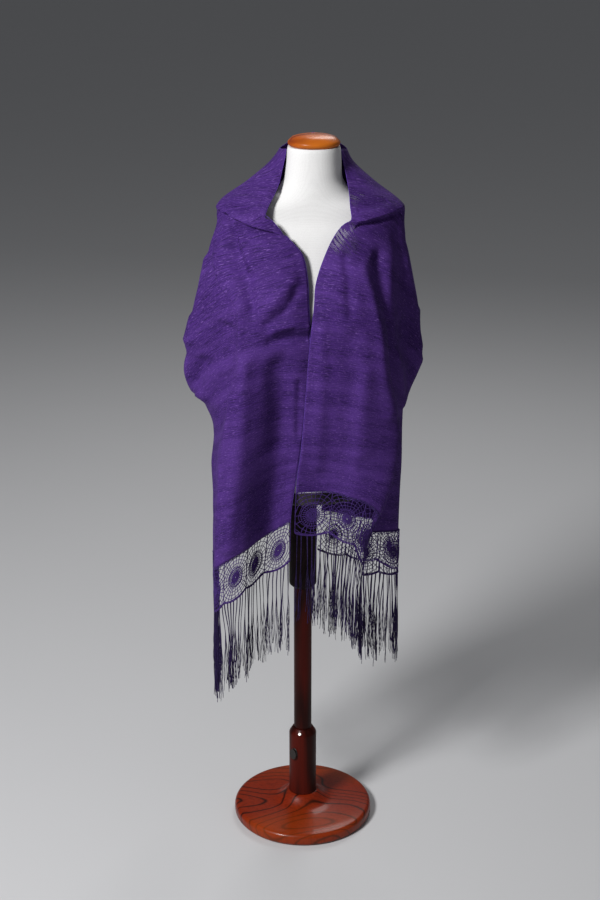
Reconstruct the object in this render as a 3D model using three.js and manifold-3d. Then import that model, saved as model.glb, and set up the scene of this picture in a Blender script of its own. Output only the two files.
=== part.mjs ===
import * as THREE from "three";
import Module from "manifold-3d";

const wasm = await Module();
wasm.setup();

// ---------- sizes, mm; +Z up, the pole stands on the Z axis, the wearer faces -Y ----------
const BASE_R = 151, BASE_H = 26, BASE_TOP_H = 53;
const POLE_R = 19, POLE_BOTTOM = 60, POLE_TOP = 608;
const COLLAR_R = 29.5, COLLAR_BOTTOM = 53.3, COLLAR_TOP = 210, SHOULDER = 13, BORE_R = 19.6, BORE_BOTTOM = 57;
const SOCKET_R = 29, SOCKET_BOTTOM = 548;
const KNOB_W = 17, KNOB_H = 25, KNOB_T = 6, KNOB_Z = 154, KNOB_TURN = 38;
const SCREW_R = 3.2, SCREW_T = 2.2, SCREW_Z = 202, SCREW_TURN = 14;
const TORSO_BOTTOM = 768, TORSO_TOP = 1477, CAP_TOP = 1500, CAP_R = 51, CAP_X = 21;
const ROUND = 36;
const GAP = 0.3;

const CLOTH_T = 1.5, LACE_T = 1.1, FRINGE_T = 1.65;
const HEM_Z = 922, HEM_WAVE = 6;
const SEAM_Q = 3.62, REAR_Q = 6, SPINE_Q = 7;
const SIDE_TOP = 916, BODY_ROWS = 12, SIDE_ROWS = 5, COLLAR_ROWS = 4;
const LACE_H = 98, SCALLOP = 8, MOTIFS = 8;
const WHEEL_V = 51, RING = [19.5, 27], SPOKE = 2.4, NET_TOP = 4;
const HEADING_H = 3.2, STRAND_PITCH = 11, STRAND_W = 2.4;

// Torso sections: height, half width, depth to the front, depth to the back, middle x.
const TORSO = [
  { z: 768, half: 134, front: 96, back: 98, x: 0 },
  { z: 775, half: 142, front: 103, back: 104, x: 0 },
  { z: 810, half: 149, front: 109, back: 110, x: 1 },
  { z: 860, half: 145, front: 107, back: 108, x: 2 },
  { z: 920, half: 128, front: 97, back: 98, x: 3 },
  { z: 985, half: 112, front: 88, back: 84, x: 5 },
  { z: 1050, half: 122, front: 98, back: 86, x: 7 },
  { z: 1120, half: 140, front: 120, back: 94, x: 9 },
  { z: 1165, half: 146, front: 122, back: 98, x: 11 },
  { z: 1220, half: 150, front: 108, back: 99, x: 13 },
  { z: 1275, half: 162, front: 93, back: 99, x: 15 },
  { z: 1315, half: 173, front: 78, back: 94, x: 15.3 },
  { z: 1340, half: 176.5, front: 62, back: 86, x: 14.5 },
  { z: 1352, half: 178.9, front: 57, back: 80, x: 14.2 },
  { z: 1362, half: 170, front: 58, back: 76, x: 15.5 },
  { z: 1372, half: 128, front: 56, back: 71, x: 17 },
  { z: 1382, half: 92, front: 54, back: 67, x: 19 },
  { z: 1396, half: 70, front: 53, back: 61, x: 20 },
  { z: 1420, half: 56, front: 52, back: 55, x: 20 },
  { z: 1450, half: 53, front: 51, back: 52, x: 21 },
  { z: 1470, half: 52, front: 51, back: 51, x: 21 },
  { z: 1477, half: 50.5, front: 50, back: 50, x: 21 },
];

// Front edge of the stole: height, x and y on the left panel, x and y on the right panel.
const EDGE = [
  { z: 1492, left: [-33, 20], right: [73, 20] },
  { z: 1470, left: [-32, 16], right: [74, 16] },
  { z: 1450, left: [-36, 4], right: [77, 4] },
  { z: 1430, left: [-41, -12], right: [82, -12] },
  { z: 1410, left: [-46, -30], right: [86, -30] },
  { z: 1390, left: [-56, -50], right: [89, -50] },
  { z: 1372, left: [-67, -66], right: [90, -66] },
  { z: 1354, left: [-73, -80], right: [92, -80] },
  { z: 1347, left: [-58, -86], right: [85, -86] },
  { z: 1340, left: [-51, -91], right: [75, -91] },
  { z: 1312, left: [-23, -108], right: [54, -108] },
  { z: 1285, left: [0, -120], right: [41, -121] },
  { z: 1256, left: [7, -127], right: [30, -131] },
  { z: 1228, left: [12, -132], right: [22, -139] },
  { z: 1196, left: [14, -136], right: [18, -147] },
  { z: 1110, left: [14, -135], right: [12, -154] },
  { z: 1030, left: [9, -127], right: [6, -155] },
  { z: 904, left: [-4, -121], right: [-4, -153] },
  { z: 840, left: [-13, -119], right: [-12, -149] },
  { z: 744, left: [-25, -114], right: [-16, -141] },
  { z: 530, left: [-28, -110], right: [-18, -138] },
];

// Level sections of each half, from the front edge round to the middle of the back; each column is a plan point [x, y].
const COLUMNS = ["valley", "crest", "fold", "tuck", "side", "rear", "spine"];
const LEFT = [
  { z: 1492, valley: [-37, 26], crest: [-41, 34], fold: [-43, 43], tuck: [-41, 53], side: [-33, 65], rear: [-12, 77], spine: [20, 82] },
  { z: 1450, valley: [-43, 10], crest: [-50, 15], fold: [-55, 22], tuck: [-57, 31], side: [-54, 43], rear: [-25, 74], spine: [20, 88] },
  { z: 1410, valley: [-60, -22], crest: [-76, -14], fold: [-91, -4], tuck: [-102, 8], side: [-104, 22], rear: [-55, 78], spine: [18, 94] },
  { z: 1372, valley: [-92, -60], crest: [-115, -48], fold: [-136, -32], tuck: [-150, -12], side: [-157, 8], rear: [-98, 84], spine: [17, 98] },
  { z: 1352, valley: [-97, -74], crest: [-121, -60], fold: [-143, -42], tuck: [-160, -20], side: [-167, 2], rear: [-108, 88], spine: [16, 100] },
  { z: 1325, valley: [-75, -91], crest: [-112, -75], fold: [-142, -54], tuck: [-160, -28], side: [-171, 0], rear: [-115, 92], spine: [16, 104] },
  { z: 1270, valley: [-50, -122], crest: [-112, -102], fold: [-172, -52], tuck: [-176, -30], side: [-189, 5], rear: [-130, 98], spine: [13, 112] },
  { z: 1230, valley: [-40, -138], crest: [-100, -124], fold: [-159, -88], tuck: [-158, -60], side: [-201, 2], rear: [-140, 102], spine: [11, 118] },
  { z: 1188, valley: [-35, -147], crest: [-85, -144], fold: [-124, -126], tuck: [-128, -96], side: [-212, 2], rear: [-148, 106], spine: [9, 122] },
  { z: 1110, valley: [-36, -146], crest: [-88, -152], fold: [-131, -134], tuck: [-129, -98], side: [-230, 2], rear: [-160, 110], spine: [5, 126] },
  { z: 1030, valley: [-38, -138], crest: [-95, -153], fold: [-140, -136], tuck: [-139, -90], side: [-243, 5], rear: [-172, 110], spine: [0, 128] },
  { z: 975, valley: [-42, -132], crest: [-100, -153], fold: [-147, -137], tuck: [-150, -78], side: [-230, 14], rear: [-172, 110], spine: [-3, 129] },
  { z: 945, valley: [-44, -129], crest: [-104, -153], fold: [-152, -138], tuck: [-158, -72], side: [-198, 20], rear: [-164, 110], spine: [-5, 130] },
  { z: 900, valley: [-47, -122], crest: [-108, -153], fold: [-158, -138], tuck: [-167, -70], side: [-182, 20], rear: [-162, 114], spine: [-5, 130] },
  { z: 850, valley: [-54, -114], crest: [-114, -153], fold: [-163, -138], tuck: [-171, -70], side: [-181, 20], rear: [-176, 118], spine: [-120, 180] },
  { z: 800, valley: [-62, -106], crest: [-120, -152], fold: [-167, -138], tuck: [-173, -70], side: [-183, 22], rear: [-186, 122], spine: [-162, 220] },
  { z: 600, valley: [-84, -94], crest: [-130, -150], fold: [-177, -138], tuck: [-178, -70], side: [-185, 24], rear: [-191, 124], spine: [-168, 224] },
];
const RIGHT = [
  { z: 1492, valley: [77, 26], crest: [81, 34], fold: [84, 43], tuck: [82, 53], side: [75, 65], rear: [52, 77], spine: [20, 82] },
  { z: 1450, valley: [81, 9], crest: [86, 15], fold: [90, 22], tuck: [92, 31], side: [90, 42], rear: [64, 74], spine: [20, 88] },
  { z: 1410, valley: [98, -24], crest: [110, -16], fold: [122, -6], tuck: [131, 6], side: [135, 20], rear: [95, 78], spine: [18, 94] },
  { z: 1372, valley: [113, -60], crest: [137, -48], fold: [159, -32], tuck: [174, -12], side: [184, 6], rear: [128, 84], spine: [17, 98] },
  { z: 1352, valley: [118, -74], crest: [144, -60], fold: [168, -42], tuck: [188, -20], side: [198, 0], rear: [138, 88], spine: [16, 100] },
  { z: 1325, valley: [98, -92], crest: [132, -76], fold: [160, -54], tuck: [182, -28], side: [197, 0], rear: [142, 92], spine: [16, 104] },
  { z: 1270, valley: [80, -122], crest: [128, -105], fold: [166, -78], tuck: [190, -42], side: [209, 2], rear: [150, 98], spine: [13, 112] },
  { z: 1230, valley: [70, -138], crest: [122, -124], fold: [164, -96], tuck: [188, -55], side: [217, 2], rear: [156, 102], spine: [11, 118] },
  { z: 1188, valley: [64, -150], crest: [118, -140], fold: [164, -112], tuck: [186, -66], side: [225, 2], rear: [160, 106], spine: [9, 122] },
  { z: 1110, valley: [62, -156], crest: [116, -150], fold: [166, -120], tuck: [186, -74], side: [239, 2], rear: [168, 110], spine: [5, 126] },
  { z: 1059, valley: [60, -156], crest: [115, -151], fold: [170, -120], tuck: [184, -76], side: [246, 2], rear: [171, 110], spine: [2, 127] },
  { z: 1030, valley: [58, -156], crest: [114, -152], fold: [176, -117], tuck: [182, -77], side: [236, 3], rear: [171, 110], spine: [0, 128] },
  { z: 975, valley: [54, -154], crest: [112, -154], fold: [190, -112], tuck: [183, -78], side: [212, 4], rear: [168, 110], spine: [-3, 129] },
  { z: 945, valley: [52, -152], crest: [110, -154], fold: [192, -113], tuck: [180, -82], side: [201, 0], rear: [162, 112], spine: [-5, 130] },
  { z: 900, valley: [50, -148], crest: [108, -154], fold: [190, -117], tuck: [172, -88], side: [200, -10], rear: [140, 120], spine: [-5, 130] },
  { z: 850, valley: [47, -144], crest: [106, -154], fold: [184, -122], tuck: [169, -92], side: [200, -20], rear: [104, 132], spine: [-50, 140] },
  { z: 800, valley: [44, -140], crest: [104, -153], fold: [172, -127], tuck: [160, -96], side: [200, -28], rear: [76, 132], spine: [-80, 134] },
  { z: 740, valley: [40, -136], crest: [95, -151], fold: [144, -136], tuck: [142, -102], side: [200, -34], rear: [52, 124], spine: [-90, 124] },
  { z: 690, valley: [39, -135], crest: [88, -151], fold: [125, -139], tuck: [130, -103], side: [200, -35], rear: [43, 118], spine: [-90, 117] },
  { z: 600, valley: [36, -134], crest: [80, -150], fold: [112, -139], tuck: [122, -102], side: [199, -36], rear: [32, 112], spine: [-90, 110] },
];

// Height of the soft ridge below the standing collar, and of the cloth's lower edge, at each column from the front edge on.
const RIDGE = {
  left: [1326, 1340, 1351, 1357, 1361, 1363, 1366, 1370],
  right: [1350, 1353, 1357, 1360, 1363, 1365, 1367, 1370],
};
const RIDGE_OUT = 9, RIDGE_ABOVE = 16, RIDGE_BELOW = 7, RIDGE_END_Q = 5.6;
const CLOTH_LOW = {
  left: [744, 708, 688, 650, 626, 606, 594],
  right: [817, 818, 806, 756, 715, 690, 672],
};
const COLLAR_RIM = [1468, 1474, 1480, 1484, 1487, 1489, 1490, 1491];

// Soft folds: half, column position, width in columns, depth outwards, upper and lower height where it fades.
const FOLDS = [
  { half: "left", q: 4.45, wide: 0.2, out: 5, top: 900, low: 300 },
  { half: "left", q: 4.9, wide: 0.17, out: -6, top: 880, low: 300 },
  { half: "left", q: 5.3, wide: 0.18, out: 5, top: 890, low: 300 },
  { half: "left", q: 5.7, wide: 0.16, out: -5, top: 870, low: 300 },
  { half: "left", q: 4.75, wide: 0.3, out: -7, top: 1230, low: 960 },
  { half: "left", q: 5.6, wide: 0.25, out: 6, top: 1300, low: 930 },
  { half: "left", q: 6.35, wide: 0.16, out: 6, top: 1250, low: 700 },
  { half: "left", q: 6.75, wide: 0.13, out: -5, top: 1320, low: 700 },
  { half: "right", q: 5.35, wide: 0.14, out: 7, top: 880, low: 300 },
  { half: "right", q: 5.7, wide: 0.13, out: -6, top: 870, low: 300 },
  { half: "right", q: 4.6, wide: 0.3, out: -6, top: 1200, low: 980 },
  { half: "right", q: 5.5, wide: 0.25, out: 6, top: 1280, low: 930 },
  { half: "right", q: 6.3, wide: 0.17, out: 5, top: 1300, low: 700 },
  { half: "right", q: 6.7, wide: 0.14, out: -6, top: 1200, low: 700 },
];

// ---------- small maths ----------
const clamp = (v, a, b) => Math.min(Math.max(v, a), b);
const smooth = (t) => { const s = clamp(t, 0, 1); return s * s * (3 - 2 * s); };
const rising = (rows) => rows.slice().sort((a, b) => a.z - b.z);

// Monotone cubic through (xs, vs) with xs rising.
function curve(xs, vs) {
  const n = xs.length, d = [], m = [];
  for (let i = 0; i < n - 1; i++) d.push((vs[i + 1] - vs[i]) / (xs[i + 1] - xs[i]));
  m.push(d[0]);
  for (let i = 1; i < n - 1; i++) {
    const a = xs[i] - xs[i - 1], b = xs[i + 1] - xs[i], w1 = 2 * b + a, w2 = b + 2 * a;
    m.push(d[i - 1] * d[i] > 0 ? (w1 + w2) / (w1 / d[i - 1] + w2 / d[i]) : 0);
  }
  m.push(d[n - 2]);
  return (x) => {
    const v = clamp(x, xs[0], xs[n - 1]);
    let i = 0;
    while (i < n - 2 && v >= xs[i + 1]) i++;
    const h = xs[i + 1] - xs[i], t = (v - xs[i]) / h, t2 = t * t, t3 = t2 * t;
    return (2 * t3 - 3 * t2 + 1) * vs[i] + (t3 - 2 * t2 + t) * h * m[i] + (3 * t2 - 2 * t3) * vs[i + 1] + (t3 - t2) * h * m[i + 1];
  };
}
const byColumn = (list) => curve(list.map((_, i) => i), list);

function halfCurves(name, rows) {
  const e = rising(EDGE), r = rising(rows), zs = r.map((row) => row.z);
  return {
    edgeX: curve(e.map((row) => row.z), e.map((row) => row[name][0])),
    edgeY: curve(e.map((row) => row.z), e.map((row) => row[name][1])),
    columns: COLUMNS.map((c) => [curve(zs, r.map((row) => row[c][0])), curve(zs, r.map((row) => row[c][1]))]),
    ridge: byColumn(RIDGE[name]),
    low: byColumn(CLOTH_LOW[name]),
    folds: FOLDS.filter((f) => f.half === name),
    out: name === "left" ? 1 : -1,
  };
}
const HALF = { left: halfCurves("left", LEFT), right: halfCurves("right", RIGHT) };
const rim = byColumn(COLLAR_RIM);

// Plan points of one half at height z.
function controls(half, z) {
  const pts = [[half.edgeX(z), half.edgeY(z)]];
  half.columns.forEach(([fx, fy]) => pts.push([fx(z), fy(z)]));
  return pts;
}

// Centripetal spline through the plan points; the last point is mirrored across the spine.
function spline(p, q) {
  const n = p.length, i = clamp(Math.floor(q), 0, n - 2), t = q - i;
  const p1 = p[i], p2 = p[i + 1];
  const p0 = i > 0 ? p[i - 1] : [2 * p1[0] - p2[0], 2 * p1[1] - p2[1]];
  const p3 = i + 2 < n ? p[i + 2] : [2 * p2[0] - p1[0], p1[1]];
  const gap = (a, b) => Math.max(Math.sqrt(Math.hypot(b[0] - a[0], b[1] - a[1])), 1e-3);
  const d0 = gap(p0, p1), d1 = gap(p1, p2), d2 = gap(p2, p3);
  return [0, 1].map((k) => {
    const t1 = ((p1[k] - p0[k]) / d0 - (p2[k] - p0[k]) / (d0 + d1) + (p2[k] - p1[k]) / d1) * d1;
    const t2 = ((p2[k] - p1[k]) / d1 - (p3[k] - p1[k]) / (d1 + d2) + (p3[k] - p2[k]) / d2) * d1;
    const u = t * t, w = u * t;
    return p1[k] * (2 * w - 3 * u + 1) + t1 * (w - 2 * u + t) + p2[k] * (3 * u - 2 * w) + t2 * (w - u);
  });
}

function push(half, q, z) {
  const dz = z - half.ridge(q), s = dz > 0 ? RIDGE_ABOVE : RIDGE_BELOW;
  let out = RIDGE_OUT * clamp((RIDGE_END_Q - q) / 1.4, 0, 1) * (0.35 + 0.65 * Math.min(q / 0.6, 1)) * Math.exp(-((dz / s) ** 2));
  for (const f of half.folds) {
    const along = smooth((f.top - z) / 90) * smooth((z - f.low) / 60);
    if (along > 0) out += f.out * along * Math.exp(-(((q - f.q) / f.wide) ** 2));
  }
  return out;
}

// Middle surface of the stole: name of the half, column position q, height z.
function mid(name, q, z) {
  const half = HALF[name], c = controls(half, z), p = spline(c, q);
  const a = spline(c, Math.max(q - 0.02, 0)), b = spline(c, Math.min(q + 0.02, SPINE_Q));
  const tx = b[0] - a[0], ty = b[1] - a[1], l = Math.hypot(tx, ty) || 1, o = push(half, q, z) * half.out;
  return new THREE.Vector3(p[0] + (ty / l) * o * -1, p[1] + (tx / l) * o, z);
}

// A point w off the middle surface, measured square to it but moved level, and shifted along the section.
function at(name, q, z, w, shift = 0) {
  const a = mid(name, Math.max(q - 0.03, 0), z), b = mid(name, Math.min(q + 0.03, SPINE_Q), z);
  const c = mid(name, q, z - 3), d = mid(name, q, z + 3);
  const along = b.sub(a), n = new THREE.Vector3().crossVectors(along, d.sub(c)).normalize();
  if (name === "left") n.negate();
  const level = Math.max(n.x * n.x + n.y * n.y, 0.3);
  along.setZ(0).normalize();
  const p = mid(name, q, z).addScaledVector(along, shift);
  p.x += (n.x / level) * w;
  p.y += (n.y / level) * w;
  return p;
}

// ---------- solids ----------
const group = new THREE.Group();
group.name = "lace_shawl_on_form";

const look = {
  cloth: { color: 0x54309a, roughness: 0.82, metalness: 0 },
  lace: { color: 0x3a2168, roughness: 0.85, metalness: 0 },
  fringe: { color: 0x35205f, roughness: 0.85, metalness: 0 },
  form: { color: 0xf2f0ec, roughness: 0.9, metalness: 0 },
  wood: { color: 0x7a2a16, roughness: 0.28, metalness: 0 },
  cap: { color: 0xc9742a, roughness: 0.3, metalness: 0 },
  dark: { color: 0x241410, roughness: 0.4, metalness: 0 },
  steel: { color: 0xb0aca4, roughness: 0.35, metalness: 1 },
};
function add(name, geometry, kind) {
  const mesh = new THREE.Mesh(geometry, new THREE.MeshStandardMaterial(look[kind]));
  mesh.name = name;
  group.add(mesh);
}

// Closed wall over a grid: point(i, j, side) with side -1 inner, +1 outer.
function wall(cols, rows, point) {
  const pos = [], index = [], w = cols + 1, h = rows + 1, layer = w * h;
  for (const side of [-1, 1])
    for (let j = 0; j <= rows; j++)
      for (let i = 0; i <= cols; i++) pos.push(...point(i / cols, j / rows, side).toArray());
  const v = (i, j, k) => k * layer + j * w + i;
  const quad = (a, b, c, d) => index.push(a, b, c, a, c, d);
  for (let j = 0; j < rows; j++)
    for (let i = 0; i < cols; i++) {
      quad(v(i, j, 1), v(i + 1, j, 1), v(i + 1, j + 1, 1), v(i, j + 1, 1));
      quad(v(i, j, 0), v(i, j + 1, 0), v(i + 1, j + 1, 0), v(i + 1, j, 0));
    }
  for (let i = 0; i < cols; i++) {
    quad(v(i, 0, 0), v(i + 1, 0, 0), v(i + 1, 0, 1), v(i, 0, 1));
    quad(v(i, rows, 1), v(i + 1, rows, 1), v(i + 1, rows, 0), v(i, rows, 0));
  }
  for (let j = 0; j < rows; j++) {
    quad(v(0, j, 1), v(0, j + 1, 1), v(0, j + 1, 0), v(0, j, 0));
    quad(v(cols, j, 0), v(cols, j + 1, 0), v(cols, j + 1, 1), v(cols, j, 1));
  }
  return outward(pos, index);
}

// Geometry whose faces point out, whichever way the grid ran.
function outward(pos, index) {
  let volume = 0;
  const p = (i) => new THREE.Vector3(pos[3 * i], pos[3 * i + 1], pos[3 * i + 2]);
  for (let i = 0; i < index.length; i += 3) volume += p(index[i]).dot(p(index[i + 1]).cross(p(index[i + 2])));
  if (volume < 0) for (let i = 0; i < index.length; i += 3) [index[i + 1], index[i + 2]] = [index[i + 2], index[i + 1]];
  const g = new THREE.BufferGeometry();
  g.setAttribute("position", new THREE.Float32BufferAttribute(pos, 3));
  g.setIndex(index);
  return g;
}

const lathe = (points, x = 0) => {
  const g = new THREE.LatheGeometry(points.map(([r, z]) => new THREE.Vector2(r, z)), ROUND);
  g.rotateX(Math.PI / 2);
  g.translate(x, 0, 0);
  return g;
};
// Rounded corner of a turned profile from angle a to b.
const round = (r, z, radius, a, b, steps = 4) =>
  Array.from({ length: steps + 1 }, (_, i) => {
    const t = ((a + ((b - a) * i) / steps) * Math.PI) / 180;
    return [r + radius * Math.cos(t), z + radius * Math.sin(t)];
  });

// stand
add("base_disc", lathe([
  [0, 0], [BASE_R - 8, 0], ...round(BASE_R - 8, 8, 8, -60, 0, 2), ...round(BASE_R - 10, BASE_H - 10, 10, 0, 80, 3),
  [64, BASE_H + 5.5], [53, BASE_H + 10], [43, BASE_H + 18], [36, BASE_TOP_H - 2.5], [31.5, BASE_TOP_H], [0, BASE_TOP_H],
]), "wood");
add("base_collar", lathe([
  [0, COLLAR_BOTTOM], [COLLAR_R + 1.5, COLLAR_BOTTOM], [COLLAR_R, COLLAR_BOTTOM + 7],
  [COLLAR_R, COLLAR_TOP - SHOULDER], [BORE_R + 1.6, COLLAR_TOP], [BORE_R, COLLAR_TOP], [BORE_R, BORE_BOTTOM], [0, BORE_BOTTOM],
]), "wood");
add("pole", lathe([[0, POLE_BOTTOM], [POLE_R, POLE_BOTTOM], [POLE_R, POLE_TOP], [0, POLE_TOP]]), "wood");
add("upper_socket", lathe([
  [0, POLE_TOP + GAP], [BORE_R, POLE_TOP + GAP], [BORE_R, SOCKET_BOTTOM], [BORE_R + 3, SOCKET_BOTTOM], [SOCKET_R, SOCKET_BOTTOM + 14],
  [SOCKET_R, TORSO_BOTTOM - 20], [SOCKET_R + 8, TORSO_BOTTOM - GAP], [0, TORSO_BOTTOM - GAP],
]), "dark");
add("neck_cap", lathe([
  [0, TORSO_TOP + GAP], [CAP_R - 5, TORSO_TOP + GAP], ...round(CAP_R - 6, TORSO_TOP + 7, 6, -60, 60, 4),
  [CAP_R - 16, CAP_TOP - 3.2], [CAP_R - 30, CAP_TOP - 0.9], [0, CAP_TOP],
], CAP_X), "cap");

// Flat disc turned to face out of the collar at an angle from the front, lying just off its surface at a radius, tipped up where it sits on the shoulder.
const SHOULDER_TIP = Math.atan((COLLAR_R - BORE_R - 1.6) / SHOULDER);
function boss(w, h, t, z, turn, radius, tip) {
  const shape = new THREE.Shape();
  shape.absellipse(0, 0, w / 2, h / 2, 0, 2 * Math.PI);
  const g = new THREE.ExtrudeGeometry(shape, { depth: t - 1.5, bevelEnabled: true, bevelThickness: 0.75, bevelSize: -0.9, bevelSegments: 1, curveSegments: 7 });
  g.translate(0, 0, GAP + 0.75);
  g.rotateX(Math.PI / 2 - tip);
  g.translate(0, -radius, z);
  g.rotateZ((-turn * Math.PI) / 180);
  return g;
}
add("lock_knob", boss(KNOB_W, KNOB_H, KNOB_T, KNOB_Z, KNOB_TURN, COLLAR_R, 0), "dark");
add("collar_screw", boss(SCREW_R * 2, SCREW_R * 2, SCREW_T, SCREW_Z, SCREW_TURN, COLLAR_R - (SCREW_Z - COLLAR_TOP + SHOULDER) * Math.tan(SHOULDER_TIP), SHOULDER_TIP), "steel");

// dress form
function torso() {
  const zs = TORSO.map((r) => r.z), f = ["half", "front", "back", "x"].map((k) => curve(zs, TORSO.map((r) => r[k])));
  const levels = [...zs], cols = 32, pos = [], index = [];
  levels.forEach((z) => {
    const [half, front, back, x] = f.map((g) => g(z));
    for (let i = 0; i < cols; i++) {
      const a = (2 * Math.PI * i) / cols, c = Math.cos(a), s = Math.sin(a);
      const bow = (v) => Math.sign(v) * Math.abs(v) ** 0.94;
      pos.push(x + half * bow(c), (s < 0 ? front : back) * bow(s), z);
    }
  });
  const n = levels.length;
  for (let j = 0; j < n - 1; j++)
    for (let i = 0; i < cols; i++) {
      const a = j * cols + i, b = j * cols + ((i + 1) % cols);
      index.push(a, b, b + cols, a, b + cols, a + cols);
    }
  const low = pos.length / 3;
  pos.push(0, 0, levels[0], f[3](levels[n - 1]), 0, levels[n - 1]);
  for (let i = 0; i < cols; i++) {
    const j = (i + 1) % cols, top = (n - 1) * cols;
    index.push(low, j, i, low + 1, top + i, top + j);
  }
  return outward(pos, index);
}
add("torso", torso(), "form");

// stretches of the stole
// Heights of a column's points: BODY_ROWS from the ridge to the hem line, finer at the top, then SIDE_ROWS down to the lower edge.
const fine = (v) => 0.65 * v + 0.35 * v * v;
const fall = (top, low, rows) => Array.from({ length: rows + 1 }, (_, j) => top + (low - top) * (rows === BODY_ROWS ? fine(j / rows) : j / rows));
// One stretch over the listed columns; shifts part its two ends from their neighbours.
function stretch(name, qs, shifts, heights) {
  const cols = qs.length - 1, zs = qs.map(heights), rows = zs[0].length - 1;
  return wall(cols, rows, (u, v, side) => {
    const i = Math.round(u * cols), shift = i === 0 ? shifts[0] : i === cols ? shifts[1] : 0;
    return at(name, qs[i], zs[i][Math.round(v * rows)], (side * CLOTH_T) / 2, shift);
  });
}
const spread = (a, b, n) => Array.from({ length: n + 1 }, (_, i) => a + ((b - a) * i) / n);
const half = (GAP + 0.1) / 2;
const hem = (name, q) => SIDE_TOP + (HEM_Z - SIDE_TOP + HEM_WAVE * Math.sin(q * 5 + (name === "left" ? 0 : 2)) * smooth((SPINE_Q - q) / 0.3)) * smooth((q - REAR_Q) / 0.3);

const FRONT_QS = spread(0, SEAM_Q, 13), SLEEVE_QS = spread(SEAM_Q, REAR_Q, 10), BACK_QS = spread(REAR_Q, SPINE_Q, 6);

// Length along the lower edge of the cloth against column position.
function edgeTable(name) {
  const h = HALF[name], steps = 240, rows = [[0, 0]];
  let last = mid(name, 0, h.low(0)), l = 0;
  for (let i = 1; i <= steps; i++) {
    const q = (REAR_Q * i) / steps, p = mid(name, q, h.low(q));
    l += p.distanceTo(last);
    last = p;
    rows.push([l, q]);
  }
  const q = (length) => {
    const v = clamp(length, 0, l);
    let i = 1;
    while (i < steps && rows[i][0] < v) i++;
    const [la, qa] = rows[i - 1], [lb, qb] = rows[i];
    return qa + ((qb - qa) * (v - la)) / (lb - la);
  };
  const length = (qq) => {
    let i = 1;
    while (i < steps && rows[i][1] < qq) i++;
    const [la, qa] = rows[i - 1], [lb, qb] = rows[i];
    return la + ((lb - la) * (qq - qa)) / (qb - qa);
  };
  return { length, q, total: l };
}

// The lace band of each end is parted between two wheels, on the side stretch, and the cloth above has a column there.
function endPlan(name) {
  const table = edgeTable(name), motif = table.total / MOTIFS, split = Math.ceil(table.length(SEAM_Q) / motif) * motif;
  const qs = spread(SEAM_Q, REAR_Q, 15), at = table.q(split);
  let i = 1;
  qs.forEach((q, k) => { if (k > 0 && k < 15 && Math.abs(q - at) < Math.abs(qs[i] - at)) i = k; });
  qs[i] = at;
  return { table, motif, split, sideQs: qs };
}
const END = { left: endPlan("left"), right: endPlan("right") };

for (const name of ["left", "right"]) {
  const h = HALF[name], ridge = (q) => h.ridge(q) - half, low = (q) => h.low(q) + half;
  const body = (q) => fall(ridge(q), SIDE_TOP + half, BODY_ROWS), lower = (q) => fall(SIDE_TOP - half, low(q), SIDE_ROWS);
  add(`shawl_${name}_front`, stretch(name, FRONT_QS, [0, -half], (q) => [...body(q), ...lower(q).slice(1)]), "cloth");
  add(`shawl_${name}_sleeve`, stretch(name, SLEEVE_QS, [half, -half], body), "cloth");
  add(`shawl_${name}_side`, stretch(name, END[name].sideQs, [half, 0], lower), "cloth");
}

// Collar and back run from the left half over the spine to the right half.
function both(qs, shift, rows, heights) {
  const n = qs.length - 1;
  return wall(2 * n, rows, (u, v, side) => {
    const i = Math.round(u * 2 * n), name = i <= n ? "left" : "right", q = qs[i <= n ? i : 2 * n - i];
    return at(name, q, heights(name, q)[Math.round(v * rows)], (side * CLOTH_T) / 2, i === 0 || i === 2 * n ? shift : 0);
  });
}
const COLLAR_QS = [...FRONT_QS, ...SLEEVE_QS.slice(1), ...BACK_QS.slice(1)];
add("shawl_collar", both(COLLAR_QS, 0, COLLAR_ROWS, (name, q) => fall(rim(q), HALF[name].ridge(q) + half, COLLAR_ROWS)), "cloth");
add("shawl_back", both(BACK_QS, half, BODY_ROWS, (name, q) => fall(HALF[name].ridge(q) - half, hem(name, q) + half, BODY_ROWS)), "cloth");

// ---------- lace and fringe ----------
const dip = (u, motif) => LACE_H - SCALLOP * (1 - Math.abs(Math.sin((Math.PI * u) / motif)) ** 0.8);

// Closed plate over flat triangles of points [u, v], bent by place(u, v, w).
function plate(points, tris, place) {
  const n = points.length, pos = [], index = [], open = new Map();
  for (const w of [-LACE_T / 2, LACE_T / 2]) for (const [u, v] of points) pos.push(...place(u, v, w).toArray());
  for (const [a, b, c] of tris) {
    index.push(a + n, b + n, c + n, a, c, b);
    for (const [s, t] of [[a, b], [b, c], [c, a]]) {
      if (open.has(`${t},${s}`)) open.delete(`${t},${s}`);
      else open.set(`${s},${t}`, [s, t]);
    }
  }
  for (const [s, t] of open.values()) index.push(s, t, t + n, s, t + n, s + n);
  return outward(pos, index);
}

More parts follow.
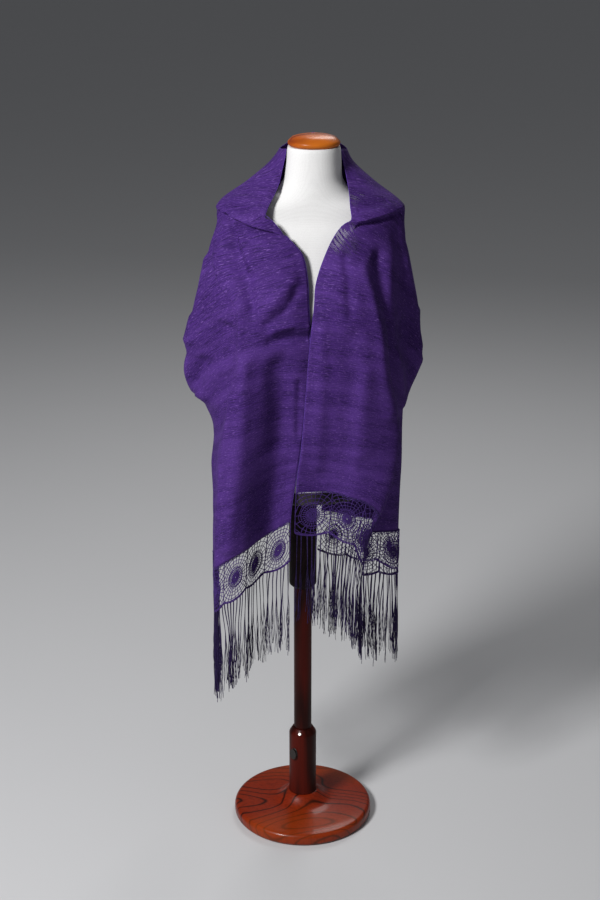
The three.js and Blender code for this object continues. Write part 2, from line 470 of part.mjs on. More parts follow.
// Net of one lace plate: a wheel in each repeat, a ring of cells round it and cells out to the edges, under a strip that meets the cloth.
function net(first, count, motif, tops) {
  const points = [], keys = new Map(), tris = [], squash = motif / 66;
  const pt = (u, v) => {
    const key = `${u.toFixed(2)},${v.toFixed(2)}`;
    if (!keys.has(key)) { keys.set(key, points.length); points.push([u, v]); }
    return keys.get(key);
  };
  const fill = (...ids) => { for (let i = 1; i < ids.length - 1; i++) tris.push([ids[0], ids[i], ids[i + 1]]); };
  const lower = [];
  for (let m = 0; m < count; m++) {
    const cu = (first + m + 0.5) * motif, spot = (x, v) => pt(cu + x * squash, v);
    const ring = (r) => Array.from({ length: 12 }, (_, k) => {
      const a = Math.floor(k / 2) * (Math.PI / 3) + (k % 2 ? 1 : -1) * Math.asin(SPOKE / 2 / r);
      return spot(r * Math.cos(a), WHEEL_V + r * Math.sin(a));
    });
    const wheel = ring(RING[0]), inner = ring(RING[1]), outer = ring(RING[1] + SPOKE);
    fill(wheel[0], wheel[1], wheel[2], wheel[3]); // the solid wheel
    fill(wheel[0], wheel[3], wheel[4], wheel[11]);
    fill(wheel[11], wheel[4], wheel[5], wheel[10]);
    fill(wheel[10], wheel[5], wheel[6], wheel[9]);
    fill(wheel[6], wheel[7], wheel[8], wheel[9]);
    for (let k = 0; k < 12; k++) {
      const j = (k + 1) % 12;
      if (k % 2 === 0) fill(wheel[k], inner[k], inner[j], wheel[j]);
      fill(inner[k], outer[k], outer[j], inner[j]);
    }
    const foot = (x) => dip(cu + x * squash, motif);
    for (const s of [1, -1]) { // right and left of the wheel
      const mid = spot(33 * s, WHEEL_V), [o0, o1] = s > 0 ? [outer[0], outer[1]] : [outer[7], outer[6]];
      const put = (...ids) => fill(...(s > 0 ? ids : ids.reverse()));
      put(o0, mid, o1);
      for (const t of [1, -1]) { // below and above
        const turn = (...ids) => put(...(t > 0 ? ids : ids.reverse()));
        const edge = (x) => (t > 0 ? foot(x) : NET_TOP), corner = spot(33 * s, edge(33 * s)), quarter = spot(16.5 * s, edge(16.5 * s));
        const k = spot(29.4 * s, t > 0 ? 85 : NET_TOP + 4), c = spot(17.6 * s, t > 0 ? 90.5 : NET_TOP + 4), h = spot(12.5 * s, t > 0 ? 91.5 : NET_TOP + 4);
        const side = t > 0 ? o1 : o0, bar = t > 0 ? (s > 0 ? [outer[2], outer[3]] : [outer[5], outer[4]]) : s > 0 ? [outer[11], outer[10]] : [outer[8], outer[9]];
        turn(side, mid, corner, k);
        turn(k, corner, quarter, c);
        turn(c, quarter, bar[1], bar[0]);
        turn(quarter, h, bar[1]);
      }
    }
    const low = [spot(16.5, foot(16.5)), spot(0, foot(0)), spot(-16.5, foot(-16.5))], high = [spot(-16.5, NET_TOP), spot(16.5, NET_TOP)];
    fill(spot(12.5, 91.5), low[0], low[1]);
    fill(spot(12.5, 91.5), low[1], spot(-12.5, 91.5));
    fill(spot(-12.5, 91.5), low[1], low[2]);
    fill(high[0], high[1], spot(12.5, NET_TOP + 4), spot(-12.5, NET_TOP + 4));
    lower.push(spot(-33, NET_TOP), ...high);
    if (m === count - 1) lower.push(spot(33, NET_TOP));
  }
  const upper = tops.map((u) => pt(u, half + 0.2));
  for (let i = 0, j = 0; i < upper.length - 1 || j < lower.length - 1; ) {
    const next = (list, k) => (k < list.length - 1 ? (points[list[k]][0] + points[list[k + 1]][0]) / 2 : Infinity);
    if (next(upper, i) < next(lower, j)) { tris.push([upper[i], upper[i + 1], lower[j]]); i++; }
    else { tris.push([upper[i], lower[j + 1], lower[j]]); j++; }
  }
  return { points, tris };
}

for (const name of ["left", "right"]) {
  const h = HALF[name], { table, motif, split, sideQs } = END[name];
  const columns = [...FRONT_QS, ...sideQs.slice(1)];
  for (const [part, ua, ub] of [["front", 0, split], ["side", split, table.total]]) {
    const first = Math.round(ua / motif), count = Math.round((ub - ua) / motif), steps = count * 4;
    const place = (u, v, w) => {
      const seam = Math.abs(u - split) < 1e-3;
      return at(name, table.q(u), h.low(table.q(u)) - v, w, seam ? (part === "front" ? -half : half) : 0);
    };
    const tops = columns.map(table.length).filter((u) => u > ua - 1e-3 && u < ub + 1e-3);
    const { points, tris } = net(first, count, motif, tops);
    add(`lace_${name}_${part}`, plate(points, tris, place), "lace");

    // fringe: a narrow heading under the scallops with strands fused into it
    const headSteps = steps;
    const heading = wall(headSteps, 1, (s, t, side) => {
      const u = ua + (ub - ua) * s;
      return place(u, dip(u, motif) + 0.6 + t * HEADING_H, (side * FRINGE_T) / 2);
    });
    const solid = (g) => {
      const q = g.getAttribute("position");
      return new wasm.Manifold(new wasm.Mesh({ numProp: 3, vertProperties: new Float32Array(q.array), triVerts: new Uint32Array(g.index.array) }));
    };
    const solids = [solid(heading)];
    const strands = Math.floor((ub - ua - 6) / STRAND_PITCH);
    for (let k = 0; k < strands; k++) {
      const u = ua + 3 + ((ub - ua - 6) * (k + 0.5)) / strands, id = k + (part === "front" ? 0 : 40) + (name === "left" ? 0 : 90);
      const noise = (seed) => { const v = Math.sin(id * 12.9898 + seed * 78.233) * 43758.5453; return v - Math.floor(v) - 0.5; };
      const step = (ub - ua) / headSteps, cell = clamp(Math.floor((u - ua) / step), 0, headSteps - 1), t0 = (u - ua) / step - cell;
      const under = (i) => { const v = ua + step * i; return place(v, dip(v, motif) + 0.6 + HEADING_H / 2, 0); };
      const root = under(cell).lerp(under(cell + 1), t0);
      const length = 200 + 24 * noise(1) - (dip(u, motif) - LACE_H), sway = 3.2 * noise(2), bow = 2.4 * noise(3);
      const levels = [0, 0.22, 1], ring = 3, pos = [], index = [];
      levels.forEach((t) => {
        const z = root.z - length * t, q = table.q(u), m = t === 0 ? root.clone() : mid(name, q, z);
        const along = mid(name, Math.min(q + 0.02, REAR_Q), z).sub(mid(name, q - 0.02, z)).normalize();
        const r = (STRAND_W / 2) * (t === 0 ? 0.6 : t < 1 ? 1 : 0.6);
        m.addScaledVector(along, sway * t + bow * Math.sin(Math.PI * t));
        for (let i = 0; i < ring; i++) {
          const ang = (2 * Math.PI * i) / ring + 0.4;
          pos.push(m.x + r * Math.cos(ang), m.y + r * Math.sin(ang), z);
        }
      });
      for (let j = 0; j < levels.length - 1; j++)
        for (let i = 0; i < ring; i++) {
          const a2 = j * ring + i, b2 = j * ring + ((i + 1) % ring);
          index.push(a2, b2, b2 + ring, a2, b2 + ring, a2 + ring);
        }
      const top = (levels.length - 1) * ring;
      index.push(0, 2, 1, top, top + 1, top + 2);
      solids.push(solid(outward(pos, index)));
    }
    let fused = wasm.Manifold.union(solids);
    const mesh = fused.getMesh(), g = new THREE.BufferGeometry(), out = new Float32Array(mesh.numVert * 3);
    for (let i = 0; i < mesh.numVert; i++) out.set(mesh.vertProperties.subarray(i * mesh.numProp, i * mesh.numProp + 3), i * 3);
    g.setAttribute("position", new THREE.BufferAttribute(out, 3));
    g.setIndex(new THREE.BufferAttribute(mesh.triVerts, 1));
    add(`fringe_${name}_${part}`, g, "fringe");
  }
}

export default group;
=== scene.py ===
import math

import bpy
import numpy as np
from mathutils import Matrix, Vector


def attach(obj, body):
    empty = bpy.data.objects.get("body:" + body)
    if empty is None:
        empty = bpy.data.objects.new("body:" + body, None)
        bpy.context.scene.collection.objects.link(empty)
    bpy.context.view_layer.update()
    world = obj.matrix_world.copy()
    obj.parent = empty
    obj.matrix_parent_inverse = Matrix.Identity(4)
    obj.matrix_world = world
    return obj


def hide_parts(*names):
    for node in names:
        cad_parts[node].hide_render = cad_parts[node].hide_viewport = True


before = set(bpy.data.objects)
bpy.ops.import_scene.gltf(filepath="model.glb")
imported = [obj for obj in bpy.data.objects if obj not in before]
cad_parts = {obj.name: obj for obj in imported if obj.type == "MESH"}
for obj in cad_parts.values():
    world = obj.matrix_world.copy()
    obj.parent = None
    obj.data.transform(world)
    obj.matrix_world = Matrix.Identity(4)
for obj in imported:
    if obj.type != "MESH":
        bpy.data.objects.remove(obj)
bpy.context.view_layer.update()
mm = 0.001

print("stage: helpers")


def clamp(values, low, high):
    return np.minimum(np.maximum(values, low), high)


def smoothStep(values):
    t = clamp(values, 0, 1)
    return t * t * (3 - 2 * t)


def monotone(xs, values):  # monotone cubic through a table's points, for arrays
    xs, values = np.asarray(xs, float), np.asarray(values, float)
    gaps = np.diff(xs)
    slopes = np.diff(values) / gaps
    tangents = np.concatenate(([slopes[0]], np.zeros(len(xs) - 2), [slopes[-1]]))
    for i in range(1, len(xs) - 1):
        if slopes[i - 1] * slopes[i] > 0:
            w1, w2 = 2 * gaps[i] + gaps[i - 1], gaps[i] + 2 * gaps[i - 1]
            tangents[i] = (w1 + w2) / (w1 / slopes[i - 1] + w2 / slopes[i])

    def at(x):
        v = clamp(np.asarray(x, float), xs[0], xs[-1])
        i = clamp(np.searchsorted(xs, v, side="right") - 1, 0, len(xs) - 2).astype(int)
        h = gaps[i]
        t = (v - xs[i]) / h
        t2, t3 = t * t, t * t * t
        return (
            (2 * t3 - 3 * t2 + 1) * values[i]
            + (t3 - 2 * t2 + t) * h * tangents[i]
            + (3 * t2 - 2 * t3) * values[i + 1]
            + (t3 - t2) * h * tangents[i + 1]
        )

    return at


def byColumn(values):
    return monotone(range(len(values)), values)


def softNoise(x, y, seed):  # smooth noise from -1 to 1, one bump for each unit
    table = np.random.default_rng(seed).uniform(-1, 1, (64, 64))
    xi, yi = np.floor(x).astype(int), np.floor(y).astype(int)
    fx, fy = smoothStep(x - xi), smoothStep(y - yi)
    corner = lambda a, b: table[(xi + a) % 64, (yi + b) % 64]
    top = corner(0, 0) * (1 - fx) + corner(1, 0) * fx
    low = corner(0, 1) * (1 - fx) + corner(1, 1) * fx
    return top * (1 - fy) + low * fy


def newMesh(name, points, faces, sharpAngle=40):
    mesh = bpy.data.meshes.new(name)
    mesh.from_pydata([tuple(p) for p in points], [], faces)
    mesh.update()
    mesh.polygons.foreach_set("use_smooth", [True] * len(mesh.polygons))
    mesh.set_sharp_from_angle(angle=math.radians(sharpAngle))
    piece = bpy.data.objects.new(name, mesh)
    bpy.context.scene.collection.objects.link(piece)
    return piece


def turned(name, profile, segments, centreX=0.0):  # turned piece from (radius, height) pairs in mm
    points, faces, rings = [], [], []
    for radius, z in profile:
        if radius == 0:
            rings.append([len(points)])
            points.append((centreX * mm, 0, z * mm))
            continue
        rings.append(range(len(points), len(points) + segments))
        for i in range(segments):
            a = 2 * math.pi * i / segments
            points.append(((centreX + radius * math.cos(a)) * mm, radius * math.sin(a) * mm, z * mm))
    for low, high in zip(rings, rings[1:]):
        for i in range(segments):
            j = (i + 1) % segments
            if len(low) == 1:
                faces.append((low[0], high[j], high[i]))
            elif len(high) == 1:
                faces.append((low[i], low[j], high[0]))
            else:
                faces.append((low[i], low[j], high[j], high[i]))
    return newMesh(name, points, faces)


def arc(radius, z, size, start, end, steps):  # rounded corner of a turned profile
    angles = [math.radians(start + (end - start) * i / steps) for i in range(steps + 1)]
    return [(radius + size * math.cos(a), z + size * math.sin(a)) for a in angles]


print("stage: shader groups")


def newGroup(name, inputs, outputs):
    tree = bpy.data.node_groups.new(name, "ShaderNodeTree")
    for socket, kind, value in inputs:
        made = tree.interface.new_socket(name=socket, in_out="INPUT", socket_type=kind)
        if value is not None:
            made.default_value = value
    for socket, kind in outputs:
        tree.interface.new_socket(name=socket, in_out="OUTPUT", socket_type=kind)
    return tree, tree.nodes.new("NodeGroupInput"), tree.nodes.new("NodeGroupOutput")


def addNode(tree, kind, inputs=None, **settings):
    node = tree.nodes.new(kind)
    for key, value in settings.items():
        setattr(node, key, value)
    for key, value in (inputs or {}).items():
        if isinstance(value, bpy.types.NodeSocket):
            tree.links.new(value, node.inputs[key])
        else:
            node.inputs[key].default_value = value
    return node


def mathNode(tree, operation, *values):
    return addNode(tree, "ShaderNodeMath", dict(enumerate(values)), operation=operation).outputs[0]


def mixColor(tree, factor, a, b):
    return addNode(tree, "ShaderNodeMix", {0: factor, 6: a, 7: b}, data_type="RGBA").outputs[2]


def tinted(tree, color, mask, strength, other):  # color drawn towards other where the mask is high
    return mixColor(tree, mathNode(tree, "MULTIPLY", mask, strength), color, other)


def ramp(tree, value, low, high):  # 0 below low, 1 above high, smooth between
    return addNode(
        tree, "ShaderNodeMapRange", {"Value": value, "From Min": low, "From Max": high},
        interpolation_type="SMOOTHSTEP",
    ).outputs["Result"]


def stretched(tree, vector, scale):
    return addNode(tree, "ShaderNodeVectorMath", {0: vector, 1: scale}, operation="MULTIPLY").outputs[0]


def noiseOf(tree, vector, scale, detail=2.0, rough=0.5):
    return addNode(
        tree, "ShaderNodeTexNoise", {"Vector": vector, "Scale": scale, "Detail": detail, "Roughness": rough}
    ).outputs["Fac"]


def makeYarnGroup():  # spun yarn: flecks of light and dark fibre, and a fine twist for the bump
    tree, into, out = newGroup(
        "yarnFibre",
        [
            ("Vector", "NodeSocketVector", None), ("Fleck Scale", "NodeSocketFloat", 900.0),
            ("Twist Scale", "NodeSocketFloat", 1500.0),
        ],
        [("Fleck", "NodeSocketFloat"), ("Height", "NodeSocketFloat")],
    )
    fleck = ramp(tree, noiseOf(tree, into.outputs["Vector"], into.outputs["Fleck Scale"], 2.0), 0.35, 0.7)
    twist = noiseOf(
        tree, stretched(tree, into.outputs["Vector"], (1.0, 1.0, 0.35)), into.outputs["Twist Scale"], 1.0
    )
    tree.links.new(fleck, out.inputs["Fleck"])
    tree.links.new(twist, out.inputs["Height"])
    return tree


def makeGrainGroup():  # wood grain: contour rings of a slow noise, fine pores along the grain
    tree, into, out = newGroup(
        "woodGrain",
        [
            ("Vector", "NodeSocketVector", None), ("Ring Count", "NodeSocketFloat", 9.0),
            ("Ring Scale", "NodeSocketFloat", 5.0), ("Pore Scale", "NodeSocketFloat", 160.0),
            ("Line Sharpness", "NodeSocketFloat", 6.0),
        ],
        [("Rings", "NodeSocketFloat"), ("Pores", "NodeSocketFloat"), ("Highlight Patches", "NodeSocketFloat")],
    )
    vector = into.outputs["Vector"]
    slow = noiseOf(tree, vector, into.outputs["Ring Scale"], 1.2, 0.4)
    wobble = noiseOf(tree, vector, mathNode(tree, "MULTIPLY", into.outputs["Ring Scale"], 9.0), 3.0, 0.6)
    phase = mathNode(
        tree, "MULTIPLY_ADD", slow, mathNode(tree, "MULTIPLY", into.outputs["Ring Count"], 6.2832),
        mathNode(tree, "MULTIPLY", wobble, 1.1),
    )
    rings = mathNode(tree, "MULTIPLY_ADD", mathNode(tree, "SINE", phase), 0.5, 0.5)
    sharp = mathNode(tree, "POWER", rings, into.outputs["Line Sharpness"])
    fine = noiseOf(tree, stretched(tree, vector, (1.0, 1.0, 0.12)), into.outputs["Pore Scale"], 2.0)
    pores = ramp(tree, fine, 0.4, 0.72)
    # slow random patches, the mask for a painted highlight on the wood
    highlightPatches = noiseOf(tree, vector, mathNode(tree, "MULTIPLY", into.outputs["Ring Scale"], 0.6), 1.0)
    tree.links.new(sharp, out.inputs["Rings"])
    tree.links.new(pores, out.inputs["Pores"])
    tree.links.new(highlightPatches, out.inputs["Highlight Patches"])
    return tree


def makeScuffGroup():  # faint smears and dust that change a surface's gloss
    tree, into, out = newGroup(
        "handlingMarks",
        [
            ("Vector", "NodeSocketVector", None), ("Scale", "NodeSocketFloat", 30.0),
            ("Amount", "NodeSocketFloat", 0.1), ("Base", "NodeSocketFloat", 0.3),
        ],
        [("Roughness", "NodeSocketFloat")],
    )
    smear = noiseOf(tree, into.outputs["Vector"], into.outputs["Scale"], 4.0, 0.65)
    centred = mathNode(tree, "SUBTRACT", smear, 0.5)
    rough = mathNode(tree, "MULTIPLY_ADD", centred, into.outputs["Amount"], into.outputs["Base"])
    tree.links.new(rough, out.inputs["Roughness"])
    return tree


yarnFibre, woodGrain, handlingMarks = makeYarnGroup(), makeGrainGroup(), makeScuffGroup()


def newMaterial(name, **constants):
    material = bpy.data.materials.new(name)
    material.use_nodes = True
    tree = material.node_tree
    shader = tree.nodes["Principled BSDF"]
    for key, value in constants.items():
        shader.inputs[key.replace("_", " ")].default_value = value
    return material, tree, shader


def useGroup(tree, group, inputs):
    return addNode(tree, "ShaderNodeGroup", inputs, node_tree=group)


def objectCoords(tree, scale=(1, 1, 1), turn=(0, 0, 0), move=(0, 0, 0)):
    place = addNode(tree, "ShaderNodeTexCoord").outputs["Object"]
    return addNode(
        tree, "ShaderNodeMapping", {"Vector": place, "Scale": scale, "Rotation": turn, "Location": move}
    ).outputs["Vector"]


def addBump(tree, shader, height, distance, strength=1.0):
    bump = addNode(tree, "ShaderNodeBump", {"Height": height, "Distance": distance, "Strength": strength})
    tree.links.new(bump.outputs["Normal"], shader.inputs["Normal"])


def addMarks(tree, shader, scale, amount, base):  # uneven gloss from handling
    inputs = {"Vector": objectCoords(tree), "Scale": scale, "Amount": amount, "Base": base}
    marks = useGroup(tree, handlingMarks, inputs)
    tree.links.new(marks.outputs["Roughness"], shader.inputs["Roughness"])


def woodMaterial(name, look):
    material, tree, shader = newMaterial(
        name, Coat_Weight=look["coat"], Coat_Roughness=look["coatRoughness"],
        Specular_IOR_Level=look["specular"],
    )
    vector = objectCoords(tree, look["stretch"], look["turn"], look["move"])
    grain = useGroup(
        tree, woodGrain,
        {
            "Vector": vector, "Ring Count": look["rings"], "Ring Scale": look["ringScale"],
            "Pore Scale": look["poreScale"], "Line Sharpness": look["lineSharpness"],
        },
    )
    color = mixColor(tree, grain.outputs["Rings"], look["light"], look["dark"])
    color = tinted(tree, color, grain.outputs["Pores"], look["poreDepth"], look["dark"])
    # painted highlight: slow random patches drawn towards a brighter orange, standing in for the varnish's
    # highlights
    highlightPatches = ramp(tree, grain.outputs["Highlight Patches"], 0.45, 0.7)
    color = tinted(tree, color, highlightPatches, look["paintedHighlight"], look["highlightColor"])
    tree.links.new(color, shader.inputs["Base Color"])
    addMarks(tree, shader, 24.0, 0.22, look["roughness"])
    addBump(tree, shader, grain.outputs["Pores"], 0.0002, 0.35)
    return material


print("stage: stand")

stand = {  # sizes in mm
    "baseRadius": 151.0, "baseHeight": 26.0, "baseTop": 53.0,
    "poleRadius": 19.0, "poleBottom": 60.0, "poleMiddle": 330.0, "poleTop": 608.0,
    "collarRadius": 29.5, "collarBottom": 53.3, "collarMiddle": 130.0, "collarTop": 210.0,
    "collarShoulder": 13.0, "boreRadius": 19.6, "boreBottom": 57.0,
    "socketRadius": 29.0, "socketBottom": 548.0, "torsoBottom": 768.0,
    "capBottom": 1477.3, "capTop": 1500.0, "capRadius": 51.0, "capX": 21.0,
    "seam": 0.3, "segments": 128,
}
# highlightColor and paintedHighlight in these wood looks: a brighter colour painted in random patches as a
# highlight
redWood = {
    "light": (0.205, 0.017, 0.003, 1), "dark": (0.020, 0.003, 0.001, 1), "highlightColor": (0.400, 0.064, 0.006, 1),
    "rings": 17.0, "ringScale": 4.4, "lineSharpness": 13.0, "poreScale": 210.0, "poreDepth": 0.35,
    "stretch": (0.62, 1.5, 1.0), "turn": (0, 0, 0.15), "move": (0.3, 0.1, 0.0), "paintedHighlight": 0.7,
    "roughness": 0.34, "coat": 0.14, "coatRoughness": 0.10, "specular": 0.16,
}
poleWood = dict(
    redWood, stretch=(1.0, 1.0, 0.10), rings=4.0, ringScale=14.0, turn=(0, 0, 0.2),
    light=(0.070, 0.005, 0.002, 1), dark=(0.018, 0.002, 0.001, 1), highlightColor=(0.125, 0.012, 0.003, 1), paintedHighlight=0.4,
    roughness=0.40, coat=0.03, specular=0.09, lineSharpness=2.0,
)
capWood = {
    "light": (0.56, 0.120, 0.010, 1), "dark": (0.20, 0.028, 0.004, 1), "highlightColor": (0.76, 0.22, 0.018, 1),
    "rings": 4.0, "ringScale": 9.0, "poreScale": 240.0, "poreDepth": 0.35, "paintedHighlight": 0.6,
    "stretch": (0.35, 1.0, 1.0), "turn": (0, 0, 0.25), "move": (0.1, 0.7, 0.2),
    "roughness": 0.34, "coat": 0.08, "coatRoughness": 0.14, "lineSharpness": 2.5, "specular": 0.14,
}
# the base's red wood darkened to near black for the socket under the torso: painted shade, for the shadow the
# socket sits in
shadeDarkenedWood = dict(
    redWood, light=(0.013, 0.006, 0.007, 1), dark=(0.004, 0.003, 0.004, 1), highlightColor=(0.022, 0.009, 0.008, 1),
    stretch=(1.0, 1.0, 0.1), ringScale=14.0, coat=0.0, roughness=0.5, specular=0.07,
)

baseMaterial, poleMaterial = woodMaterial("varnishedBase", redWood), woodMaterial("varnishedPole", poleWood)
capMaterial, socketMaterial = woodMaterial("varnishedCap", capWood), woodMaterial("shadowPaintedSocket", shadeDarkenedWood)


def makeStand(s):
    rim, height, top, seam = s["baseRadius"], s["baseHeight"], s["baseTop"], s["seam"]
    base = [(0, 0), (rim - 8, 0)] + arc(rim - 8, 8, 8, -60, 0, 5)
    base += arc(rim - 10, height - 10, 10, 8, 80, 7)
    base += [
        (rim - 30, height + 1.2), (100, height + 2.5), (78, height + 3.9), (64, height + 5.7),
        (58, height + 7.4), (52, height + 10.4), (47, height + 14), (42, height + 18.6),
        (38, height + 22.6), (35, top - 1.8), (32.5, top - 0.5), (30.5, top), (0, top),
    ]
    outer, bore, foot, brim = s["collarRadius"], s["boreRadius"], s["collarBottom"], s["collarTop"]
    shoulder = brim - s["collarShoulder"]
    collar = [
        (0, foot), (outer + 1.5, foot), (outer + 1.2, foot + 3), (outer, foot + 7),
        (outer, s["collarMiddle"]), (outer, shoulder - 1.5), (outer - 0.6, shoulder + 0.8),
        (bore + 2.3, brim - 1.0), (bore + 1.0, brim), (bore, brim), (bore, s["boreBottom"]),
        (0, s["boreBottom"]),
    ]
    thick, low, high = s["poleRadius"], s["poleBottom"], s["poleTop"]
    pole = [(0, low), (thick, low), (thick, s["poleMiddle"]), (thick, high), (0, high)]
    wide, mouth, seat = s["socketRadius"], s["socketBottom"], s["torsoBottom"]
    socket = [(0, high + seam), (bore, high + seam), (bore, mouth), (bore + 3, mouth)]
    socket += arc(bore + 3, mouth + 9, 6.4, -60, 0, 4)[1:]
    socket += [
        (wide, mouth + 16), (wide, seat - 20), (wide + 3, seat - 10), (wide + 8, seat - seam),
        (0, seat - seam),
    ]
    edge, under, crown = s["capRadius"], s["capBottom"], s["capTop"]
    cap = [(0, under), (edge - 5, under)] + arc(edge - 6, under + 6.7, 6, -60, 60, 10)
    cap += [
        (edge - 8, crown - 5.8), (edge - 16, crown - 3.2), (edge - 23, crown - 1.8),
        (edge - 30, crown - 0.9), (14, crown - 0.2), (0, crown),
    ]
    made = [
        ("baseDish", base, 0, "base_disc", "stand", "wood", baseMaterial),
        ("clampCollar", collar, 0, "base_collar", "stand", "wood", poleMaterial),
        ("poleRod", pole, 0, "pole", "form", "wood", poleMaterial),
        # the socket's near-black wood is painted shade
        ("neckSocket", socket, 0, "upper_socket", "form", "dark_wood", socketMaterial),
        ("capDisc", cap, s["capX"], "neck_cap", "form", "cap_wood", capMaterial),
    ]
    for name, profile, x, node, body, slot, material in made:
        piece = turned(name, profile, s["segments"], x)
        piece.data.materials.append(material)
        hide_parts(node)
        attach(piece, body)


makeStand(stand)

fittings = {"knobColor": (0.012, 0.008, 0.007, 1), "steelColor": (0.42, 0.40, 0.38, 1)}


def fittingMaterial(name, color, metallic, roughness):
    material, tree, shader = newMaterial(name, Base_Color=color, Metallic=metallic)
    addMarks(tree, shader, 300.0, 0.3, roughness)
    grit = noiseOf(tree, objectCoords(tree), 1800.0, 2.0)
    worn = tuple(0.55 * c for c in color[:3]) + (1,)
    tree.links.new(tinted(tree, color, grit, 0.35, worn), shader.inputs["Base Color"])
    addBump(tree, shader, grit, 0.00008, 0.5)
    return material


for node, material in (
    ("lock_knob", fittingMaterial("knobPlastic", fittings["knobColor"], 0.0, 0.38)),
    ("collar_screw", fittingMaterial("screwSteel", fittings["steelColor"], 1.0, 0.34)),
):
    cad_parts[node].data.materials.clear()
    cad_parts[node].data.materials.append(material)

print("stage: dress form")

torsoLevels = [  # height, half width, depth to the front, depth to the back, middle x, in mm
    (768, 134, 96, 98, 0), (775, 142, 103, 104, 0), (810, 149, 109, 110, 1), (860, 145, 107, 108, 2),
    (920, 128, 97, 98, 3), (985, 112, 88, 84, 5), (1050, 122, 98, 86, 7), (1120, 140, 120, 94, 9),
    (1165, 146, 122, 98, 11), (1220, 150, 108, 99, 13), (1275, 162, 93, 99, 15), (1315, 173, 78, 94, 15.3),
    (1340, 176.5, 62, 86, 14.5), (1352, 178.9, 58.6, 80, 14.2), (1362, 170, 56.8, 76, 15.5),
    (1372, 128, 55.5, 71, 17), (1382, 92, 54.4, 67, 19), (1396, 70, 53.4, 61, 20), (1420, 56, 52, 55, 20),
    (1450, 53, 51, 52, 21), (1470, 52, 51, 51, 21), (1477, 50.5, 50, 50, 21),
]
torsoTable = np.array(torsoLevels, float)
torsoCurves = [monotone(torsoTable[:, 0], torsoTable[:, k]) for k in range(1, 5)]
torsoMesh = {"columns": 112, "rowsBetween": 5, "bow": 0.94}


def makeTorso(look):
    columns, levels, rows = look["columns"], torsoTable[:, 0], look["rowsBetween"]
    heights = [np.linspace(a, b, rows, endpoint=False) for a, b in zip(levels, levels[1:])]
    heights = np.concatenate(heights + [levels[-1:]])
    points, faces = [], []
    for z in heights:
        half, front, back, x = (float(c(z)) for c in torsoCurves)
        for i in range(columns):
            c, s = math.cos(2 * math.pi * i / columns), math.sin(2 * math.pi * i / columns)
            bow = lambda v: math.copysign(abs(v) ** look["bow"], v)
            points.append(((x + half * bow(c)) * mm, (front if s < 0 else back) * bow(s) * mm, z * mm))
    for j in range(len(heights) - 1):
        for i in range(columns):
            a, b = j * columns + i, j * columns + (i + 1) % columns
            faces.append((a, b, b + columns, a + columns))
    faces.append(tuple(reversed(range(columns))))
    faces.append(tuple(range((len(heights) - 1) * columns, len(heights) * columns)))
    return newMesh("formTorso", points, faces)


# foot: near-black painted shade over the torso below about 0.8 m, where its lower end lies in shadow
jersey = {
    "pale": (0.76, 0.755, 0.75, 1), "cloud": (0.71, 0.70, 0.695, 1), "stitch": (0.54, 0.53, 0.52, 1),
    "foot": (0.016, 0.009, 0.011, 1), "shadeFootFrom": 0.7992, "shadeFootTo": 0.8004, "stitchScale": 620.0,
}


def jerseyMaterial(look):
    material, tree, shader = newMaterial(
        "whiteJersey", Roughness=0.86, Sheen_Weight=0.25, Sheen_Roughness=0.5
    )
    vector = objectCoords(tree)
    loops = stretched(tree, vector, (1.0, 1.0, 0.62))
    cells = {"Vector": loops, "Scale": look["stitchScale"], "Randomness": 0.35}
    knit = addNode(tree, "ShaderNodeTexVoronoi", cells).outputs["Distance"]
    cloudy = noiseOf(tree, vector, 26.0, 3.0)
    color = tinted(tree, look["pale"], ramp(tree, cloudy, 0.3, 0.75), 0.5, look["cloud"])
    color = tinted(tree, color, ramp(tree, knit, 0.25, 0.7), 0.25, look["stitch"])
    # painted shade: below about 0.8 m the jersey turns near black
    height = addNode(tree, "ShaderNodeSeparateXYZ", {"Vector": vector}).outputs["Z"]
    color = mixColor(tree, ramp(tree, height, look["shadeFootFrom"], look["shadeFootTo"]), look["foot"], color)
    tree.links.new(color, shader.inputs["Base Color"])
    addBump(tree, shader, mathNode(tree, "SUBTRACT", 1.0, knit), 0.00025, 0.6)
    return material


torsoPiece = makeTorso(torsoMesh)
torsoPiece.data.materials.append(jerseyMaterial(jersey))
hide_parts("torso")
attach(torsoPiece, "form")

print("stage: stole surface")

stole = {
    "rearColumn": 6, "sideTop": 916.0, "hemHeight": 922.0, "hemWave": 6.0,
    "collarRim": [1468, 1467, 1466, 1465, 1465, 1468, 1483, 1490],
    "ridge": {
        "left": [1326, 1340, 1351, 1357, 1361, 1363, 1366, 1370],
        "right": [1350, 1353, 1357, 1360, 1363, 1365, 1367, 1370],
    },
    "clothLow": {"left": [744, 708, 688, 650, 626, 606, 594], "right": [817, 818, 806, 756, 715, 690, 672]},
    "ridgeOut": 9.0, "ridgeAbove": 16.0, "ridgeBelow": 7.0, "ridgeEnd": 5.6,
    "columnsPerUnit": [12, 12, 12, 15, 24, 24, 27], "rows": [24, 15, 81, 54], "layoutStride": 3,
    "thickness": 0.0008, "width": 0.60, "selvedge": 0.62,
}
edgeRows = [  # front edges in mm: height, x and y of the left panel, x and y of the right panel
    (1492, -33, 20, 73, 20), (1470, -32, 16, 74, 16), (1450, -36, 4, 77, 4), (1430, -41, -12, 82, -12),
    (1410, -46, -30, 86, -30), (1390, -56, -50, 89, -50), (1372, -67, -66, 90, -66),
    (1354, -73, -77, 92, -78), (1347, -58, -81, 85, -83), (1340, -51, -84, 75, -87),
    (1312, -23, -96, 54, -100), (1285, 0, -105, 41, -111), (1256, 7, -112, 30, -121),
    (1228, 10, -119, 23, -130), (1196, 11, -126, 21, -141), (1160, 13, -130, 17, -148),
    (1110, 14, -132, 12, -153), (1030, 9, -127, 6, -155), (904, -4, -121, -4, -153),
    (840, -13, -119, -12, -149), (744, -25, -114, -16, -141), (530, -28, -110, -18, -138),
]
